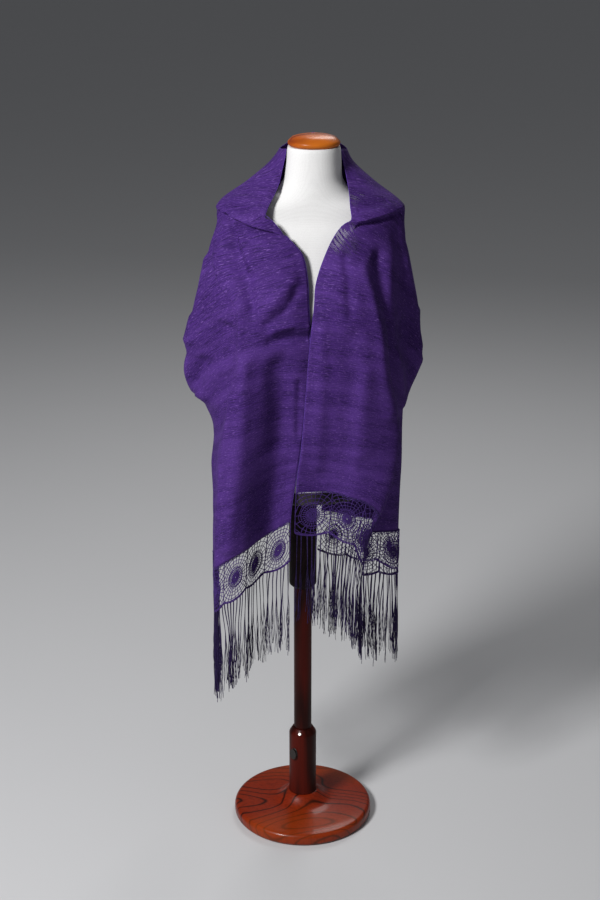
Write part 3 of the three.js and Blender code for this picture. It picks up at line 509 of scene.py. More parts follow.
sectionRows = {  # level sections: height, then x, y of valley, crest, fold, tuck, side, rear and spine, in mm
    "left": [
        (1492, -32, 26, -35, 33, -37, 42, -37, 50, -32, 60, -12, 76, 20, 82),
        (1470, -35, 23, -39, 30, -42, 38, -43, 46, -39, 57, -16, 76, 20, 84),
        (1450, -43, 10, -50, 15, -55, 22, -57, 31, -54, 43, -25, 74, 20, 88),
        (1410, -60, -22, -76, -14, -91, -4, -102, 8, -104, 22, -55, 78, 18, 94),
        (1372, -92, -60, -115, -48, -136, -32, -150, -12, -157, 8, -98, 84, 17, 98),
        (1352, -97, -74, -121, -60, -143, -42, -160, -20, -167, 2, -108, 88, 16, 100),
        (1325, -75, -91, -112, -75, -142, -54, -160, -28, -171, 0, -115, 92, 16, 104),
        (1270, -50, -122, -112, -102, -172, -52, -176, -30, -189, 5, -130, 98, 13, 112),
        (1230, -40, -138, -100, -124, -159, -88, -158, -60, -201, 2, -140, 102, 11, 118),
        (1188, -35, -147, -85, -144, -124, -126, -128, -96, -212, 2, -148, 106, 9, 122),
        (1110, -36, -146, -88, -152, -131, -134, -129, -98, -230, 2, -160, 110, 5, 126),
        (1030, -38, -138, -95, -153, -140, -136, -139, -90, -243, 5, -172, 110, 0, 128),
        (975, -42, -132, -100, -153, -147, -137, -150, -78, -230, 14, -172, 110, -3, 129),
        (945, -44, -129, -104, -153, -152, -138, -158, -72, -198, 20, -164, 110, -5, 130),
        (900, -47, -122, -108, -153, -158, -138, -167, -70, -182, 20, -162, 114, -5, 130),
        (850, -54, -114, -114, -153, -163, -138, -171, -70, -181, 20, -176, 118, -120, 180),
        (800, -62, -106, -120, -152, -167, -138, -173, -70, -183, 22, -186, 122, -162, 220),
        (600, -84, -94, -130, -150, -177, -138, -178, -70, -185, 24, -191, 124, -168, 224),
    ],
    "right": [
        (1492, 74, 26, 77, 33, 79, 42, 78, 50, 73, 60, 52, 76, 20, 82),
        (1470, 77, 23, 80, 30, 83, 38, 83, 46, 79, 57, 56, 76, 20, 84),
        (1450, 81, 9, 86, 15, 90, 22, 92, 31, 90, 42, 64, 74, 20, 88),
        (1410, 98, -24, 110, -16, 122, -6, 131, 6, 135, 20, 95, 78, 18, 94),
        (1372, 113, -60, 137, -48, 159, -32, 174, -12, 184, 6, 128, 84, 17, 98),
        (1352, 118, -74, 144, -60, 168, -42, 188, -20, 198, 0, 138, 88, 16, 100),
        (1325, 98, -92, 132, -76, 160, -54, 182, -28, 197, 0, 142, 92, 16, 104),
        (1270, 80, -122, 128, -105, 166, -78, 190, -42, 209, 2, 150, 98, 13, 112),
        (1230, 70, -138, 122, -124, 164, -96, 188, -55, 217, 2, 156, 102, 11, 118),
        (1188, 64, -150, 118, -140, 164, -112, 186, -66, 225, 2, 160, 106, 9, 122),
        (1110, 62, -156, 116, -150, 166, -120, 186, -74, 239, 2, 168, 110, 5, 126),
        (1059, 60, -156, 115, -151, 170, -120, 184, -76, 246, 2, 171, 110, 2, 127),
        (1030, 58, -156, 114, -152, 176, -117, 182, -77, 236, 3, 171, 110, 0, 128),
        (975, 54, -154, 112, -154, 190, -112, 183, -78, 212, 4, 168, 110, -3, 129),
        (945, 52, -152, 110, -154, 192, -113, 180, -82, 201, 0, 162, 112, -5, 130),
        (900, 50, -148, 108, -154, 190, -117, 172, -88, 200, -10, 140, 120, -5, 130),
        (850, 47, -144, 106, -154, 184, -122, 169, -92, 200, -20, 104, 132, -50, 140),
        (800, 44, -140, 104, -153, 172, -127, 160, -96, 200, -28, 76, 132, -80, 134),
        (740, 40, -136, 95, -151, 144, -136, 142, -102, 200, -34, 52, 124, -90, 124),
        (690, 39, -135, 88, -151, 125, -139, 130, -103, 200, -35, 43, 118, -90, 117),
        (600, 36, -134, 80, -150, 112, -139, 122, -102, 199, -36, 32, 112, -90, 110),
    ],
}
longFolds = {  # column, width in columns, depth outwards in mm, heights where it fades
    "left": [
        (4.45, 0.20, 5, 900, 300), (4.9, 0.17, -6, 880, 300), (5.3, 0.18, 5, 890, 300),
        (5.7, 0.16, -5, 870, 300), (4.75, 0.30, -7, 1230, 960),
        (5.6, 0.25, 6, 1300, 930), (6.35, 0.16, 6, 1250, 700), (6.75, 0.13, -5, 1320, 700),
    ],
    "right": [
        (5.35, 0.14, 7, 880, 300), (5.7, 0.13, -6, 870, 300), (4.6, 0.30, -6, 1200, 980),
        (5.5, 0.25, 6, 1280, 930), (6.3, 0.17, 5, 1300, 700),
        (6.7, 0.14, -6, 1200, 700),
    ],
}
creases = {  # depth outwards and width in mm, then the column and height of each point on its path
    "left": [
        (-9.0, 6.0, (3.95, 1350), (1.9, 1342), (0.45, 1328)),
        (4.0, 5.0, (3.6, 1336), (2.2, 1329), (1.0, 1316)),
        (-5.0, 3.5, (3.07, 1373), (1.67, 1371), (0.42, 1367)),
        (4.0, 4.0, (3.4, 1382), (2.1, 1381), (0.8, 1379)),
        (-14.0, 11.0, (3.1, 1345), (2.7, 1318), (2.3, 1286), (2.1, 1246), (2.3, 1190)),
        (6.0, 9.0, (2.5, 1335), (2.0, 1300), (1.65, 1262)),
        (8.0, 6.0, (1.42, 1150), (0.67, 1160), (0.08, 1150)),
        (-8.0, 9.0, (1.5, 1126), (0.7, 1136), (0.15, 1128)),
        (-12.0, 22.0, (1.15, 1075), (1.0, 1010), (0.95, 955), (0.95, 915)),
        (12.0, 15.0, (2.45, 1085), (2.35, 1000), (2.3, 900), (2.35, 800), (2.45, 700)),
        (5.0, 10.0, (3.75, 1312), (3.7, 1275), (3.3, 1230), (2.85, 1180), (2.78, 1100)),
        (-8.0, 18.0, (4.0, 1272), (3.85, 1235), (3.6, 1195), (3.35, 1150), (3.2, 1085)),
        (9.0, 9.0, (4.62, 1256), (4.88, 1176), (4.9, 1090)),
        (-12.0, 9.0, (4.3, 1135), (4.5, 1060), (4.72, 1000)),
        (8.0, 8.0, (4.7, 975), (4.4, 1035), (3.9, 1075)),
        (-9.0, 9.0, (4.95, 960), (4.75, 1010), (4.65, 1050)),
        (-7.0, 8.0, (4.75, 1330), (5.0, 1240), (5.05, 1150)),
        (6.0, 10.0, (0.55, 1245), (1.2, 1215), (1.6, 1190)),
        (-5.0, 7.0, (0.35, 1040), (0.3, 980), (0.2, 930)),
        (-5.0, 8.0, (0.5, 1215), (1.1, 1180), (1.7, 1160)),
        (5.0, 9.0, (2.9, 1010), (2.85, 900), (2.9, 760)),
        (-6.0, 12.0, (5.3, 1330), (5.9, 1210), (6.3, 1080)),
        (5.0, 12.0, (5.7, 1300), (6.2, 1180), (6.6, 1020)),
        (-5.0, 10.0, (6.5, 1330), (6.75, 1180), (6.85, 1030)),
        (7.0, 10.0, (5.3, 1090), (5.8, 1020), (6.2, 960)),
        (-8.0, 10.0, (5.15, 1060), (5.6, 990), (5.9, 950)),
        (-8.0, 11.0, (5.2, 1250), (5.35, 1120), (5.6, 1000)),
        (7.0, 9.0, (5.6, 1180), (5.8, 1080), (6.1, 1000)),
        (7.0, 12.0, (6.9, 1300), (6.6, 1160), (6.5, 1000)),
    ],
    "right": [
        (-6.0, 6.0, (3.9, 1350), (2.0, 1344), (0.9, 1338)),
        (-4.0, 4.0, (3.2, 1375), (1.8, 1371), (0.6, 1365)),
        (-5.0, 8.0, (0.9, 1285), (1.3, 1240), (1.5, 1180)),
        (5.0, 9.0, (1.7, 1265), (2.25, 1215), (2.6, 1150), (2.72, 1060), (2.7, 970)),
        (-11.0, 16.0, (2.45, 1275), (2.95, 1200), (3.3, 1130), (3.4, 1040), (3.35, 960)),
        (-5.0, 18.0, (1.6, 1130), (1.6, 1015), (1.55, 915), (1.65, 840)),
        (4.0, 12.0, (0.42, 1150), (0.58, 1018), (0.67, 870)),
        (4.0, 10.0, (2.1, 1060), (2.05, 980), (2.1, 900)),
        (4.0, 10.0, (4.4, 1260), (4.7, 1170), (4.75, 1080)),
        (-6.0, 10.0, (4.2, 1140), (4.45, 1060), (4.6, 990)),
        (5.0, 9.0, (4.6, 960), (4.3, 1030), (3.9, 1080)),
        (5.0, 12.0, (5.4, 1320), (5.9, 1220), (6.4, 1050)),
        (-6.0, 12.0, (5.8, 1310), (6.3, 1170), (6.6, 1000)),
        (4.0, 10.0, (6.5, 1340), (6.7, 1230), (6.8, 1100)),
        (-8.0, 10.0, (5.2, 1110), (5.7, 1030), (6.1, 965)),
        (7.0, 10.0, (5.1, 1150), (5.5, 1070), (5.9, 1000)),
        (-8.0, 11.0, (5.0, 1290), (5.15, 1180), (5.1, 1060)),
        (7.0, 9.0, (5.45, 1270), (5.6, 1160), (5.75, 1080)),
        (-7.0, 12.0, (6.95, 1290), (6.75, 1150), (6.6, 980)),
    ],
}


def halfCurves(name):
    edge = np.array(sorted(edgeRows), float)
    rows = np.array(sorted(sectionRows[name]), float)
    k = 1 if name == "left" else 3
    plan = [[monotone(edge[:, 0], edge[:, k]), monotone(edge[:, 0], edge[:, k + 1])]]
    plan += [
        [monotone(rows[:, 0], rows[:, c]), monotone(rows[:, 0], rows[:, c + 1])] for c in range(1, 15, 2)
    ]
    return {
        "name": name, "plan": plan, "ridge": byColumn(stole["ridge"][name]),
        "low": byColumn(stole["clothLow"][name]), "out": 1 if name == "left" else -1,
    }


halves = {name: halfCurves(name) for name in ("left", "right")}
collarRim = byColumn(stole["collarRim"])


def planSpline(points, q):  # centripetal spline through a section's points, mirrored past the spine
    count = points.shape[1]
    i = clamp(np.floor(q), 0, count - 2).astype(int)
    t = (q - i)[:, None]
    rows = np.arange(len(q))
    p1, p2 = points[rows, i], points[rows, i + 1]
    before = np.where((i > 0)[:, None], points[rows, np.maximum(i - 1, 0)], 2 * p1 - p2)
    past = np.stack([2 * p2[:, 0] - p1[:, 0], p1[:, 1]], 1)
    after = np.where((i + 2 < count)[:, None], points[rows, np.minimum(i + 2, count - 1)], past)
    gap = lambda a, b: np.maximum(np.sqrt(np.linalg.norm(b - a, axis=1)), 1e-3)[:, None]
    d0, d1, d2 = gap(before, p1), gap(p1, p2), gap(p2, after)
    t1 = ((p1 - before) / d0 - (p2 - before) / (d0 + d1) + (p2 - p1) / d1) * d1
    t2 = ((p2 - p1) / d1 - (after - p1) / (d1 + d2) + (after - p2) / d2) * d1
    u, w = t * t, t * t * t
    return p1 * (2 * w - 3 * u + 1) + t1 * (w - 2 * u + t) + p2 * (3 * u - 2 * w) + t2 * (w - u)


def foldPush(half, q, z):  # outward push of the collar's ridge, the long folds and the creases
    rise = z - half["ridge"](q)
    reach = np.where(rise > 0, stole["ridgeAbove"], stole["ridgeBelow"])
    fade = clamp((stole["ridgeEnd"] - q) / 1.4, 0, 1) * (0.35 + 0.65 * clamp(q / 0.6, 0, 1))
    out = stole["ridgeOut"] * fade * np.exp(-((rise / reach) ** 2))
    for column, wide, depth, top, low in longFolds[half["name"]]:
        shown = smoothStep((top - z) / 90) * smoothStep((z - low) / 60)
        out = out + depth * shown * np.exp(-(((q - column) / wide) ** 2))
    for depth, wide, *path in creases[half["name"]]:
        out = out + depth * np.exp(-((pathDistance(q, z, path) / wide) ** 2))
    return out


columnWidth = 48.0  # rough width of one column in mm, for distances along a section


def pathDistance(q, z, path):  # distance from a crease's path in mm
    best = np.full(np.shape(q), 1e9)
    for (qa, za), (qb, zb) in zip(path, path[1:]):
        dx, dz = (qb - qa) * columnWidth, zb - za
        t = ((q - qa) * columnWidth * dx + (z - za) * dz) / (dx * dx + dz * dz)
        s = clamp(t, 0, 1)
        best = np.minimum(best, np.hypot((q - qa) * columnWidth - s * dx, z - za - s * dz))
    return best


def middle(half, q, z, extra=0.0):  # point of the stole's middle surface, in mm
    q, z = np.asarray(q, float), np.asarray(z, float)
    plan = np.stack([np.stack([fx(z), fy(z)], 1) for fx, fy in half["plan"]], 1)
    point = planSpline(plan, q)
    along = planSpline(plan, np.minimum(q + 0.02, 7)) - planSpline(plan, np.maximum(q - 0.02, 0))
    along /= np.linalg.norm(along, axis=1)[:, None]
    push = ((foldPush(half, q, z) + extra) * half["out"])[:, None]
    flat = point + np.stack([-along[:, 1], along[:, 0]], 1) * push
    return np.column_stack([flat, z])


def hemLine(name, q):
    wave = stole["hemWave"] * np.sin(q * 5 + (0 if name == "left" else 2)) * smoothStep((7 - q) / 0.3)
    return stole["sideTop"] + (stole["hemHeight"] - stole["sideTop"] + wave) * smoothStep((q - 6) / 0.3)


def clothGrid(name):
    half = halves[name]
    q = np.concatenate([np.arange(n) / n + i for i, n in enumerate(stole["columnsPerUnit"])] + [[7.0]])
    ridge, rim, hem, low = half["ridge"](q), collarRim(q), hemLine(name, q), half["low"](q)
    stops = [rim, ridge + 10, ridge - 8, hem, low]
    heights = [rim]
    for k, count in enumerate(stole["rows"]):
        for j in range(1, count + 1):
            t = j / count
            t = 0.65 * t + 0.35 * t * t if k == 2 else t
            heights.append(stops[k] + (stops[k + 1] - stops[k]) * t)
    return q, np.array(heights)


wrinkles = {"broad": 3.4, "broadSize": 64.0, "fine": 0.9, "fineSize": 22.0, "lip": 4.0, "room": 2.2}


def clothDetail(name, q, z):  # low uneven swells and small wrinkles, calmer at the edges
    seed = 11 if name == "left" else 23
    x = q * columnWidth
    slant = z + 0.55 * x * smoothStep((q - 3.4) / 1.2)
    broad = softNoise(x / wrinkles["broadSize"], slant / (1.9 * wrinkles["broadSize"]), seed)
    fine = softNoise(x / wrinkles["fineSize"], slant / (2.8 * wrinkles["fineSize"]), seed + 1)
    below = smoothStep((halves[name]["ridge"](q) - 10 - z) / 60)
    calm = 0.25 + 0.75 * smoothStep(q / 0.6)
    return (wrinkles["broad"] * broad + wrinkles["fine"] * fine) * (0.25 + 0.75 * below) * calm


torsoPower = 2.128  # power in the torso's level sections, about 2 over its bow


def clearForm(points, room):  # moves points that would sink into the form out to its surface
    wide, front, back, x = (curve(points[:, 2]) for curve in torsoCurves)
    inside = (points[:, 2] > torsoTable[0, 0] - 4) & (points[:, 2] < torsoTable[-1, 0])
    dx, dy = points[:, 0] - x, points[:, 1]
    deep = np.where(dy < 0, front, back)
    reach = (np.abs(dx) / (wide + room)) ** torsoPower + (np.abs(dy) / (deep + room)) ** torsoPower
    grow = np.where(inside & (reach < 1), np.maximum(reach, 1e-3) ** (-1 / torsoPower), 1.0)
    points[:, 0], points[:, 1] = x + dx * grow, dy * grow
    return points


def clothPoints(name, q, z):
    half = halves[name]
    points = middle(half, q, z, clothDetail(name, q, z))
    rise = z - half["ridge"](q)
    fade = clamp((4.4 - q) / 1.6, 0, 1) * (1.0 if name == "left" else 0.6)
    points[:, 2] -= wrinkles["lip"] * fade * np.exp(-((rise / np.where(rise > 0, 6.0, 3.0)) ** 2))
    return clearForm(points, wrinkles["room"])


def makeCloth():
    points, faces, ids = [], [], {}
    bodyRows = sum(stole["rows"][:3])
    for name in ("left", "right"):
        q, heights = clothGrid(name)
        rows, columns = heights.shape
        grid = clothPoints(name, np.tile(q, rows), heights.ravel()).reshape(rows, columns, 3)
        index = np.full((rows, columns), -1)
        lastLower = int(np.argmin(np.abs(q - stole["rearColumn"])))
        for r in range(rows):
            for c in range(columns):
                if r > bodyRows and c > lastLower:
                    continue
                if name == "right" and c == columns - 1:
                    index[r, c] = ids["left"][r, c]
                    points[index[r, c]] = (points[index[r, c]] + grid[r, c]) / 2
                    continue
                index[r, c] = len(points)
                points.append(grid[r, c])
        ids[name] = index
        for r in range(rows - 1):
            for c in range(columns - 1):
                corners = [index[r, c], index[r + 1, c], index[r + 1, c + 1], index[r, c + 1]]
                if min(corners) >= 0:
                    faces.append(corners if name == "left" else corners[::-1])
    return np.array(points), faces, ids


def solveHarmonic(points, triangles, fixed):  # smooth field over the cloth with given values on some points
    count = len(points)
    a, b, c = points[triangles[:, 0]], points[triangles[:, 1]], points[triangles[:, 2]]
    starts, ends, weights = [], [], []
    for i, j, k, pi, pj, pk in ((0, 1, 2, a, b, c), (1, 2, 0, b, c, a), (2, 0, 1, c, a, b)):
        u, v = pi - pk, pj - pk
        cot = np.einsum("ij,ij->i", u, v) / np.maximum(np.linalg.norm(np.cross(u, v), axis=1), 1e-12)
        cot = clamp(cot, 0.02, 20)
        starts += [triangles[:, i], triangles[:, j]]
        ends += [triangles[:, j], triangles[:, i]]
        weights += [cot, cot]
    starts, ends, weights = np.concatenate(starts), np.concatenate(ends), np.concatenate(weights)
    diagonal = np.bincount(starts, weights, count)
    values, free = np.zeros(count), np.ones(count, bool)
    for ids, value in fixed:
        values[ids], free[ids] = value, False
    apply = lambda x: diagonal * x - np.bincount(starts, weights * x[ends], count)
    residual = np.where(free, -apply(values), 0)
    step = residual / diagonal
    direction, power = step.copy(), residual @ step
    for _ in range(900):
        image = np.where(free, apply(direction), 0)
        size = power / max(direction @ image, 1e-30)
        values += size * direction
        residual -= size * image
        step = residual / diagonal
        fresh = residual @ step
        if fresh < 1e-14:
            break
        direction = step + (fresh / power) * direction
        power = fresh
    return values


def layOutCloth(points, ids):  # weft across from the inner edge, warp along from the spine, in metres
    bodyRows, stride = sum(stole["rows"][:3]), stole["layoutStride"]
    coords = np.zeros((len(points), 3))
    for side, name in ((-1, "left"), (1, "right")):
        index = ids[name][::stride, ::stride]
        rows, columns = index.shape
        body, lower = bodyRows // stride, int(sum(stole["columnsPerUnit"][:6])) // stride
        known = index >= 0
        number = np.full(index.shape, -1)
        number[known] = np.arange(known.sum())
        spots = points[index[known]]
        quads = []
        for r in range(rows - 1):
            for c in range(columns - 1):
                q = [number[r, c], number[r + 1, c], number[r + 1, c + 1], number[r, c + 1]]
                if min(q) >= 0:
                    quads += [(q[0], q[1], q[2]), (q[0], q[2], q[3])]
        triangles = np.array(quads)
        inner = np.concatenate([number[0, :], number[:, 0]])
        outer = np.concatenate([number[body, lower:], number[body:, lower]])
        weft = solveHarmonic(spots, triangles, [(inner, 0.0), (outer, 1.0)])
        bottom, spine = number[-1, : lower + 1], number[: body + 1, -1]
        warp = solveHarmonic(spots, triangles, [(spine, 0.0), (bottom, 1.0)])
        field = np.zeros(index.shape + (2,))
        field[known] = np.stack([weft, warp], 1)
        field[~known] = 1.0
        fineRows, fineColumns = ids[name].shape
        down, across = np.arange(fineRows) / stride, np.arange(fineColumns) / stride
        rr, cc = np.meshgrid(down, across, indexing="ij")
        r0, c0 = np.minimum(rr.astype(int), rows - 2), np.minimum(cc.astype(int), columns - 2)
        fr, fc = (rr - r0)[..., None], (cc - c0)[..., None]
        nearSide = field[r0, c0] * (1 - fr) + field[r0 + 1, c0] * fr
        farSide = field[r0, c0 + 1] * (1 - fr) + field[r0 + 1, c0 + 1] * fr
        fine = nearSide * (1 - fc) + farSide * fc
        shown = ids[name] >= 0
        coords[ids[name][shown], 0] = fine[shown][:, 0] * stole["width"]
        coords[ids[name][shown], 1] = side * fine[shown][:, 1]
    return coords


clothVertices, clothFaces, clothIds = makeCloth()
clothCoords = layOutCloth(clothVertices * mm, clothIds)


def meanLength(name):  # length from the spine to the end, down the middle of the stole's width
    coords, index = clothCoords, clothIds[name]
    shown = index[index >= 0]
    near = shown[np.abs(coords[shown, 0] - 0.5 * stole["width"]) < 0.012]
    order = near[np.argsort(np.abs(coords[near, 1]))]
    bins = np.array_split(order, 60)
    path = np.array([clothVertices[b].mean(0) for b in bins]) * mm
    return float(np.linalg.norm(np.diff(path, axis=0), axis=1).sum())


halfLength = {name: meanLength(name) for name in ("left", "right")}
for side, name in ((-1, "left"), (1, "right")):
    part = clothCoords[:, 1] * side > 0
    clothCoords[part, 1] *= halfLength[name]
print("half lengths", {k: round(v, 3) for k, v in halfLength.items()})

clothPiece = newMesh("stoleCloth", clothVertices * mm, clothFaces, sharpAngle=180)
normals = np.array([p.normal for p in clothPiece.data.polygons])
centres = np.array([p.center for p in clothPiece.data.polygons])
if np.mean(np.einsum("ij,ij->i", normals[:, :2], centres[:, :2])) < 0:
    clothPiece.data.flip_normals()
place = clothPiece.data.attributes.new("clothPlace", "FLOAT_VECTOR", "POINT")
place.data.foreach_set("vector", clothCoords.astype(np.float32).ravel())

sheerSpots = {  # thin places: half, column and height of the centre, then radius in mm and strength
    "spots": [
        ("right", 0.45, 1318, 33, 1.0), ("right", 0.9, 1306, 24, 0.85), ("right", 0.8, 1386, 19, 0.8),
        ("right", 0.2, 1396, 15, 0.7), ("left", 0.05, 1395, 14, 0.8), ("left", 0.0, 1420, 11, 0.7),
    ],
}


def markSheer():
    field = np.zeros(len(clothVertices))
    for name, column, height, radius, strength in sheerSpots["spots"]:
        away = np.linalg.norm(clothVertices - middle(halves[name], [column], [height])[0], axis=1)
        field = np.maximum(field, strength * np.exp(-((away / radius) ** 4)))
    attribute = clothPiece.data.attributes.new("sheer", "FLOAT", "POINT")
    attribute.data.foreach_set("value", field.astype(np.float32))


markSheer()

gauze = {
    "deep": (0.013, 0.0038, 0.048, 1), "mid": (0.052, 0.0165, 0.148, 1), "bright": (0.108, 0.042, 0.265, 1),
    "slub": (0.23, 0.115, 0.45, 1), "sheen": (0.55, 0.35, 1.0, 1), "sheerLeast": 0.10, "sheerBars": 0.38,
    "barSlant": -0.5, "streakScale": (42.0, 760.0, 1.0), "threadScale": (36.0, 1500.0, 1.0),
    "slubScale": (120.0, 720.0, 1.0), "warpScale": (900.0, 14.0, 1.0), "bandScale": (3.0, 34.0, 1.0),
    "fleckScale": (380.0, 900.0, 1.0), "barScale": (32.0, 330.0, 1.0),
}


def gauzeMaterial(look):
    material, tree, shader = newMaterial(
        "purpleGauze", Roughness=0.82, Sheen_Weight=0.04, Sheen_Roughness=0.35, Sheen_Tint=look["sheen"],
        Specular_IOR_Level=0.15,
    )
    spot = addNode(tree, "ShaderNodeAttribute", attribute_name="clothPlace").outputs["Vector"]
    sheer = addNode(tree, "ShaderNodeAttribute", attribute_name="sheer").outputs["Fac"]

    def woven(key, detail=1.0, rough=0.5, place=spot):
        return noiseOf(tree, stretched(tree, place, look[key]), 1.0, detail, rough)

    streak, thread = woven("streakScale", 3.0, 0.65), woven("threadScale")
    slubs = ramp(tree, woven("slubScale"), 0.60, 0.76)
    warpLines, bands = woven("warpScale"), woven("bandScale", 2.0)
    flecks = ramp(tree, woven("fleckScale", 0.0), 0.66, 0.80)
    color = mixColor(tree, ramp(tree, streak, 0.32, 0.62), look["deep"], look["mid"])
    for mask, strength, other in (
        (ramp(tree, thread, 0.45, 0.75), 0.40, "bright"), (ramp(tree, bands, 0.40, 0.66), 0.34, "bright"),
        (ramp(tree, warpLines, 0.5, 0.8), 0.16, "deep"), (slubs, 0.60, "slub"), (flecks, 0.38, "slub"),
    ):
        color = tinted(tree, color, mask, strength, look[other])
    tree.links.new(color, shader.inputs["Base Color"])
    weave = mathNode(tree, "ADD", thread, mathNode(tree, "MULTIPLY", warpLines, 0.5))
    height = mathNode(tree, "ADD", mathNode(tree, "MULTIPLY", slubs, 0.8), weave)
    addBump(tree, shader, height, 0.0005, 0.75)
    tilt = {"Vector": spot, "Rotation": (0.0, 0.0, look["barSlant"])}
    slanted = addNode(tree, "ShaderNodeMapping", tilt).outputs["Vector"]
    bars = ramp(tree, woven("barScale", place=slanted), 0.56, 0.50)
    openness = mathNode(tree, "MULTIPLY_ADD", bars, look["sheerBars"], look["sheerLeast"])
    seeThrough = mathNode(tree, "MULTIPLY", sheer, openness)
    pores = mathNode(tree, "MULTIPLY", ramp(tree, streak, 0.40, 0.20), 0.06)
    solid = mathNode(tree, "SUBTRACT", 1.0, mathNode(tree, "MAXIMUM", seeThrough, pores))
    tree.links.new(solid, shader.inputs["Alpha"])
    return material


clothPiece.data.materials.append(gauzeMaterial(gauze))
wall = clothPiece.modifiers.new("clothWall", "SOLIDIFY")
wall.thickness, wall.offset = stole["thickness"], 0.0

print("stage: lace and fringe")

lace = {  # sizes in mm
    "height": 98.0, "scallop": 8.0, "repeats": 8, "repeatWidth": 66.0, "wheelDown": 51.0,
    "wheelDrift": 3.5, "wheelRadius": 19.5, "wheelTall": 1.12, "wheelSpokes": 27,
    "wheelSizes": [1.16, 0.88, 1.10, 0.94, 1.14, 0.90, 1.06, 0.97],
    "wheelRings": [(2.6, 1.0), (4.6, 1.1), (6.8, 1.1), (9.0, 1.1), (11.2, 1.0), (15.2, 0.7), (19.6, 1.25)],
    "webRings": [22.5, 29.0, 36.0, 43.5, 51.0, 58.0], "webSpokes": 26, "thread": 0.72, "wheelThread": 0.85,
    "border": 1.45, "jitter": 0.8, "step": 4.0,
}
fringe = {
    "strandsPerEnd": 58, "length": 200.0, "spread": 24.0, "thread": 0.62, "bundle": 44.0, "flare": 110.0,
    "yarns": (5, 8), "shortest": 0.80, "step": 7.0, "reach": 26.0,
    "gathers": {
        "left": [(0.33, 0.75), (0.60, 0.45), (0.86, 0.6)],
        "right": [(0.47, 0.55), (0.63, 0.7), (0.80, 0.45), (0.93, 0.5)],
    },
}


def edgeLengths(name):  # length along the cloth's lower edge against the column
    half = halves[name]
    q = np.linspace(0, stole["rearColumn"], 481)
    line = middle(half, q, half["low"](q))
    length = np.concatenate([[0], np.cumsum(np.linalg.norm(np.diff(line, axis=0), axis=1))])
    return q, length


edgeTables = {name: edgeLengths(name) for name in halves}


def onLace(name, u, v, out=0.0):  # point u mm along the lower edge and v mm below it
    half = halves[name]
    columns, lengths = edgeTables[name]
    q = np.interp(u, lengths, columns)
    return middle(half, q, half["low"](q) - v, out)


def dip(u, motif):  # depth of the scalloped edge below the cloth
    bay = np.abs(np.sin(np.pi * np.asarray(u, float) / motif)) ** 0.8
    return lace["height"] - lace["scallop"] * (1 - bay)


class Threads:  # polylines with a radius at each point, gathered for one mesh
    def __init__(self):
        self.points, self.edges, self.radii, self.count = [], [], [], 0

    def add(self, line, radius):
        line = np.asarray(line)
        if len(line) < 2:
            return
        self.points.append(line)
        self.radii.append(np.broadcast_to(radius, len(line)).astype(float))
        self.edges += [(self.count + i, self.count + i + 1) for i in range(len(line) - 1)]
        self.count += len(line)


def cutAlong(line, step):  # evenly spaced points along a polyline
    line = np.asarray(line, float)
    run = np.concatenate([[0], np.cumsum(np.linalg.norm(np.diff(line, axis=0), axis=1))])
    count = max(2, int(round(run[-1] / step)) + 1)
    at = np.linspace(0, run[-1], count)
    return np.stack([np.interp(at, run, line[:, k]) for k in range(line.shape[1])], 1)


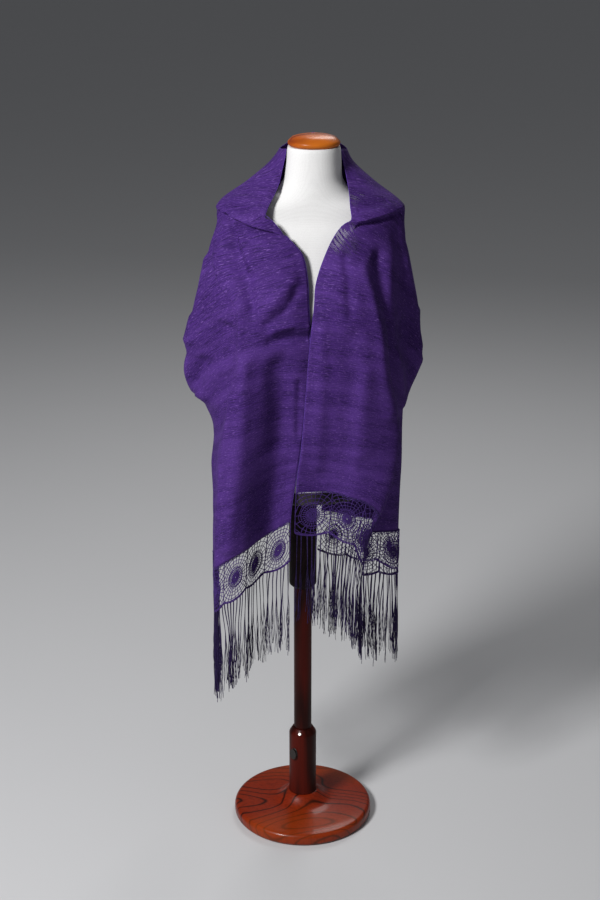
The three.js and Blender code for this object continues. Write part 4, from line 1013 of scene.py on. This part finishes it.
def weaveLace(name, rng):
    total = edgeTables[name][1][-1]
    motif = total / lace["repeats"]
    squash = motif / lace["repeatWidth"]
    threads = Threads()

    def lay(line, radius, out=0.0, wander=lace["jitter"]):
        flat = cutAlong(line, lace["step"])
        phase = rng.uniform(0, 60, 2)
        flat[1:-1, 0] += wander * softNoise(flat[1:-1, 0] / 9 + phase[0], flat[1:-1, 1] / 9 + phase[1], 5)
        flat[1:-1, 1] += wander * softNoise(flat[1:-1, 0] / 9 + phase[1], flat[1:-1, 1] / 9 + phase[0], 6)
        inside = (flat[:, 0] >= -0.2) & (flat[:, 0] <= total + 0.2)
        if inside.all():
            threads.add(onLace(name, flat[:, 0], flat[:, 1], out), radius)

    for m in range(lace["repeats"]):
        cu = (m + 0.5) * motif
        size = lace["wheelSizes"][(m + (3 if name == "left" else 0)) % len(lace["wheelSizes"])]
        middleV = lace["wheelDown"] + rng.uniform(-lace["wheelDrift"], lace["wheelDrift"])
        wide, tall = squash * size, lace["wheelTall"] * size
        flat = lambda r, a: (cu + wide * r * math.cos(a), middleV + tall * r * math.sin(a))
        turn = rng.uniform(0, 0.3)

        def insideBox(x, v):
            return abs(x - cu) <= motif / 2 + 1e-6 and 0.8 <= v <= dip(x, motif) - 0.6

        spokes = lace["wheelSpokes"]
        for k in range(spokes):  # dense darned wheel
            a = turn + 2 * math.pi * k / spokes
            start = 1.2 if k % 3 == 0 else 4.6
            lay([flat(start, a), flat(lace["wheelRadius"] + 0.6, a)], lace["wheelThread"], 0.0, 0.25)
        for k, (r, weight) in enumerate(lace["wheelRings"]):
            ring = [flat(r, 2 * math.pi * t / 36) for t in range(37)]
            lay(ring, lace["wheelThread"] * weight, 0.25 * (-1) ** k, 0.35)
        for r in lace["webRings"]:  # cobweb round the wheel, cut off at the repeat's edges
            run = []
            for t in range(73):
                x, v = flat(r + 0.9 * math.sin(5 * 2 * math.pi * t / 72 + m), 2 * math.pi * t / 72)
                if insideBox(x, v):
                    run.append((x, v))
                elif run:
                    if len(run) > 1:
                        lay(run, lace["thread"])
                    run = []
            if len(run) > 1:
                lay(run, lace["thread"])
        for k in range(lace["webSpokes"]):
            a = turn + 2 * math.pi * (k + rng.uniform(-0.12, 0.12)) / lace["webSpokes"]
            reach = lace["wheelRadius"]
            while insideBox(*flat(reach + 1.0, a)):
                reach += 1.0
            halfway = flat((lace["wheelRadius"] + reach) / 2, a + rng.uniform(-0.03, 0.03))
            lay([flat(lace["wheelRadius"] - 1, a), halfway, flat(reach + 0.9, a)], lace["thread"])
        for side in (0, 1):  # thread down the border between two repeats
            if side == 0 or m == lace["repeats"] - 1:
                x = cu + (side - 0.5) * motif
                lay([(x, 0.4), (x, float(dip(x, motif)))], lace["thread"] * 1.3, 0.0, 0.9 if 0 < m else 0.0)
    edge = np.linspace(0, total, 40 * lace["repeats"] + 1)
    for drop, radius in ((0.0, lace["border"]), (-2.6, lace["thread"] * 1.3)):  # bound scalloped edge
        lay(np.stack([edge, dip(edge, motif) + drop], 1), radius, 0.0, 0.3)
    for drop, radius in ((0.4, lace["border"] * 0.9), (3.4, lace["thread"])):  # join under the cloth
        lay(np.stack([edge, np.full_like(edge, drop)], 1), radius, 0.0, 0.2)
    return threads


def hangFringe(name, rng):
    total = edgeTables[name][1][-1]
    motif = total / lace["repeats"]
    columns, lengths = edgeTables[name]
    half = halves[name]
    threads = Threads()
    for k in range(fringe["strandsPerEnd"]):
        u = total * (k + 0.5 + rng.uniform(-0.18, 0.18)) / fringe["strandsPerEnd"]
        pull = sum(
            (at * total - u) * strength * math.exp(-(((at * total - u) / fringe["reach"]) ** 2))
            for at, strength in fringe["gathers"][name]
        )
        top = float(dip(u, motif)) + 0.6
        low = float(half["low"](np.array([np.interp(u, lengths, columns)]))[0])
        length = fringe["length"] + fringe["spread"] * rng.uniform(-0.5, 0.5) - (top - lace["height"])
        lean, curl = rng.uniform(-6.0, 6.0), rng.uniform(-2.5, 2.5)
        loose = rng.uniform(3.0, 7.5)
        for _ in range(rng.integers(*fringe["yarns"])):
            own = length * rng.uniform(fringe["shortest"], 1.0)
            drop = np.linspace(0, own, max(4, int(own / fringe["step"])))
            free = smoothStep((drop - fringe["bundle"]) / fringe["flare"])
            side = lean * drop / length + curl * np.sin(math.pi * drop / length)
            side = side + free * rng.uniform(-loose, loose) + pull * smoothStep(drop / 70)
            wave = np.sin(drop / rng.uniform(7, 16) + rng.uniform(0, 6))
            side += 1.5 * free * wave + rng.uniform(-0.6, 0.6)
            lift = rng.uniform(-3.5, 3.5)
            ripple = np.sin(drop / rng.uniform(8, 18) + rng.uniform(0, 6))
            q = np.interp(np.clip(u + side, 0.5, total - 0.5), lengths, columns)
            line = middle(half, q, low - top - drop, free * (lift + 0.9 * ripple))
            taper = 1.5 - 0.65 * smoothStep(drop / (1.6 * fringe["bundle"]))
            threads.add(line, fringe["thread"] * taper)
    return threads


def makeThreadTree():  # tubes along loose edges, each point with its own radius
    tree = bpy.data.node_groups.new("threadTubes", "GeometryNodeTree")
    for name, kind, side in (
        ("Geometry", "Geometry", "INPUT"), ("Sides", "Int", "INPUT"), ("Thickness", "Float", "INPUT"),
        ("Material", "Material", "INPUT"), ("Geometry", "Geometry", "OUTPUT"),
    ):
        tree.interface.new_socket(name=name, in_out=side, socket_type="NodeSocket" + kind)
    into, out = tree.nodes.new("NodeGroupInput"), tree.nodes.new("NodeGroupOutput")
    line = addNode(tree, "GeometryNodeMeshToCurve", {"Mesh": into.outputs["Geometry"]})
    radius = addNode(tree, "GeometryNodeInputNamedAttribute", {"Name": "threadRadius"}, data_type="FLOAT")
    thick = mathNode(tree, "MULTIPLY", radius.outputs["Attribute"], into.outputs["Thickness"])
    sized = addNode(tree, "GeometryNodeSetCurveRadius", {"Curve": line.outputs["Curve"], "Radius": thick})
    ring = addNode(
        tree, "GeometryNodeCurvePrimitiveCircle", {"Resolution": into.outputs["Sides"], "Radius": 1.0}
    )
    section = {"Curve": sized.outputs["Curve"], "Profile Curve": ring.outputs["Curve"], "Fill Caps": True}
    tube = addNode(tree, "GeometryNodeCurveToMesh", section)
    if "Scale" in tube.inputs:
        tree.links.new(thick, tube.inputs["Scale"])
    smooth = addNode(tree, "GeometryNodeSetShadeSmooth", {"Geometry": tube.outputs["Mesh"]})
    real = addNode(tree, "GeometryNodeRealizeInstances", {"Geometry": smooth.outputs["Geometry"]})
    paint = {"Geometry": real.outputs["Geometry"], "Material": into.outputs["Material"]}
    painted = addNode(tree, "GeometryNodeSetMaterial", paint)
    tree.links.new(painted.outputs["Geometry"], out.inputs["Geometry"])
    return tree


tubes = {"Sides": 4, "Thickness": 1.0}
threadTree = makeThreadTree()


def spinThreads(name, threads, material):
    mesh = bpy.data.meshes.new(name + "Lines")
    points = np.concatenate(threads.points) * mm
    mesh.from_pydata([tuple(p) for p in points], threads.edges, [])
    radius = mesh.attributes.new("threadRadius", "FLOAT", "POINT")
    radius.data.foreach_set("value", (np.concatenate(threads.radii) * mm).astype(np.float32))
    piece = bpy.data.objects.new(name, mesh)
    bpy.context.scene.collection.objects.link(piece)
    modifier = piece.modifiers.new("tubes", "NODES")
    modifier.node_group = threadTree
    wanted = dict(tubes, Material=material)
    for item in threadTree.interface.items_tree:
        if item.item_type == "SOCKET" and item.in_out == "INPUT" and item.name in wanted:
            modifier[item.identifier] = wanted[item.name]
    bpy.context.view_layer.update()
    done = bpy.data.meshes.new_from_object(piece.evaluated_get(bpy.context.evaluated_depsgraph_get()))
    piece.modifiers.clear()
    piece.data = done
    print(name, "triangles", sum(len(p.vertices) - 2 for p in done.polygons))
    return piece


def yarnMaterial(name, look):
    material, tree, shader = newMaterial(
        name, Roughness=0.8, Sheen_Weight=0.08, Sheen_Roughness=0.4, Sheen_Tint=(0.6, 0.5, 1.0, 1),
        Specular_IOR_Level=0.15,
    )
    vector = objectCoords(tree)
    scales = {"Vector": vector, "Fleck Scale": look["fleckScale"], "Twist Scale": 1600.0}
    fibre = useGroup(tree, yarnFibre, scales)
    color = mixColor(tree, fibre.outputs["Fleck"], look["dark"], look["light"])
    slow = ramp(tree, noiseOf(tree, vector, 38.0, 1.0), 0.4, 0.7)
    color = tinted(tree, color, slow, 0.35, look["dark"])
    tree.links.new(color, shader.inputs["Base Color"])
    addBump(tree, shader, fibre.outputs["Height"], 0.0002, 0.7)
    return material


laceYarn = yarnMaterial(
    "laceYarn", {"dark": (0.020, 0.008, 0.060, 1), "light": (0.085, 0.038, 0.235, 1), "fleckScale": 800.0}
)
fringeYarn = yarnMaterial(
    "fringeYarn", {"dark": (0.009, 0.005, 0.026, 1), "light": (0.036, 0.018, 0.100, 1), "fleckScale": 700.0}
)

trims = []
for seed, name in ((31, "left"), (47, "right")):
    rng = np.random.default_rng(seed)
    net = spinThreads("lace" + name.capitalize(), weaveLace(name, rng), laceYarn)
    tassels = spinThreads("fringe" + name.capitalize(), hangFringe(name, rng), fringeYarn)
    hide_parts(f"lace_{name}_front", f"lace_{name}_side")
    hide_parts(f"fringe_{name}_front", f"fringe_{name}_side")
    trims += [net, tassels]


def makeSelvedge():  # firm woven edge along the inner edge and the back hem
    threads = Threads()
    for name in ("left", "right"):
        index = clothIds[name]
        body, lower = sum(stole["rows"][:3]), int(sum(stole["columnsPerUnit"][:6]))
        for line in (index[::2, 0], index[0, :], index[body, lower:], index[body:, lower]):
            threads.add(clothVertices[line], stole["selvedge"])
    return spinThreads("selvedge", threads, selvedgeYarn)


selvedgeYarn = yarnMaterial(
    "selvedgeYarn", {"dark": (0.05, 0.018, 0.18, 1), "light": (0.16, 0.075, 0.44, 1), "fleckScale": 600.0}
)
selvedge = makeSelvedge()
trims.append(selvedge)
for piece in trims:
    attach(piece, "form")

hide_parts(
    "shawl_collar", "shawl_back", "shawl_left_front", "shawl_left_sleeve", "shawl_left_side",
    "shawl_right_front", "shawl_right_sleeve", "shawl_right_side",
)
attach(clothPiece, "form")

print("stage: studio")

studio = {
    "floorColor": (0.62, 0.62, 0.63, 1), "floorShade": (0.5, 0.5, 0.51, 1), "floorHalf": 40.0,
    "floorLevel": -0.0005, "cameraPlace": (-0.006, -3.15, 2.0), "cameraPitch": 20.01, "lens": 65.12,
    "sensorHeight": 36.0,
    "keyPlace": (-1.95, -2.20, 3.0), "keyAim": (0.0, 0.0, 1.1), "keySize": 0.9, "keyPower": 144.0,
    "fillPlace": (2.6, -1.6, 1.9), "fillAim": (0.0, 0.0, 1.0), "fillSize": 1.8, "fillPower": 2.0,
    "topPlace": (0.6, 2.4, 3.2), "topAim": (0.0, 0.0, 1.2), "topSize": 1.4, "topPower": 30.0,
    "worldColor": (0.86, 0.88, 0.92, 1), "worldStrength": 0.12,
}


def aim(thing, place, target):
    thing.location = place
    thing.rotation_euler = (Vector(target) - Vector(place)).to_track_quat("-Z", "Y").to_euler()
    bpy.context.scene.collection.objects.link(thing)


def makeStudio(s):
    half, level = s["floorHalf"], s["floorLevel"]
    corners = [(x * half, y * half, level) for x, y in ((-1, -1), (1, -1), (1, 1), (-1, 1))]
    sweep = newMesh("studioFloor", corners, [(0, 1, 2, 3)])
    material, tree, shader = newMaterial("palePaper", Roughness=0.9, Specular_IOR_Level=0.2)
    paper = noiseOf(tree, objectCoords(tree), 3.0, 2.0)
    color = tinted(tree, s["floorColor"], paper, 0.08, s["floorShade"])
    tree.links.new(color, shader.inputs["Base Color"])
    sweep.data.materials.append(material)
    for name in ("key", "fill", "top"):
        lamp = bpy.data.lights.new(name + "Light", "AREA")
        lamp.shape, lamp.size, lamp.energy = "DISK", s[name + "Size"], s[name + "Power"]
        aim(bpy.data.objects.new(name + "Light", lamp), s[name + "Place"], s[name + "Aim"])
    world = bpy.data.worlds.new("softRoom")
    world.use_nodes = True
    background = world.node_tree.nodes["Background"]
    background.inputs["Color"].default_value = s["worldColor"]
    background.inputs["Strength"].default_value = s["worldStrength"]
    bpy.context.scene.world = world
    camera = bpy.data.objects.new("photoCamera", bpy.data.cameras.new("photoCamera"))
    camera.data.sensor_fit = "VERTICAL"
    camera.data.sensor_height, camera.data.lens = s["sensorHeight"], s["lens"]
    camera.location = s["cameraPlace"]
    camera.rotation_euler = (math.radians(90 - s["cameraPitch"]), 0, 0)
    bpy.context.scene.collection.objects.link(camera)
    bpy.context.scene.camera = camera
    bpy.context.scene.view_settings.view_transform = "Standard"


makeStudio(studio)

print("stage: finish")
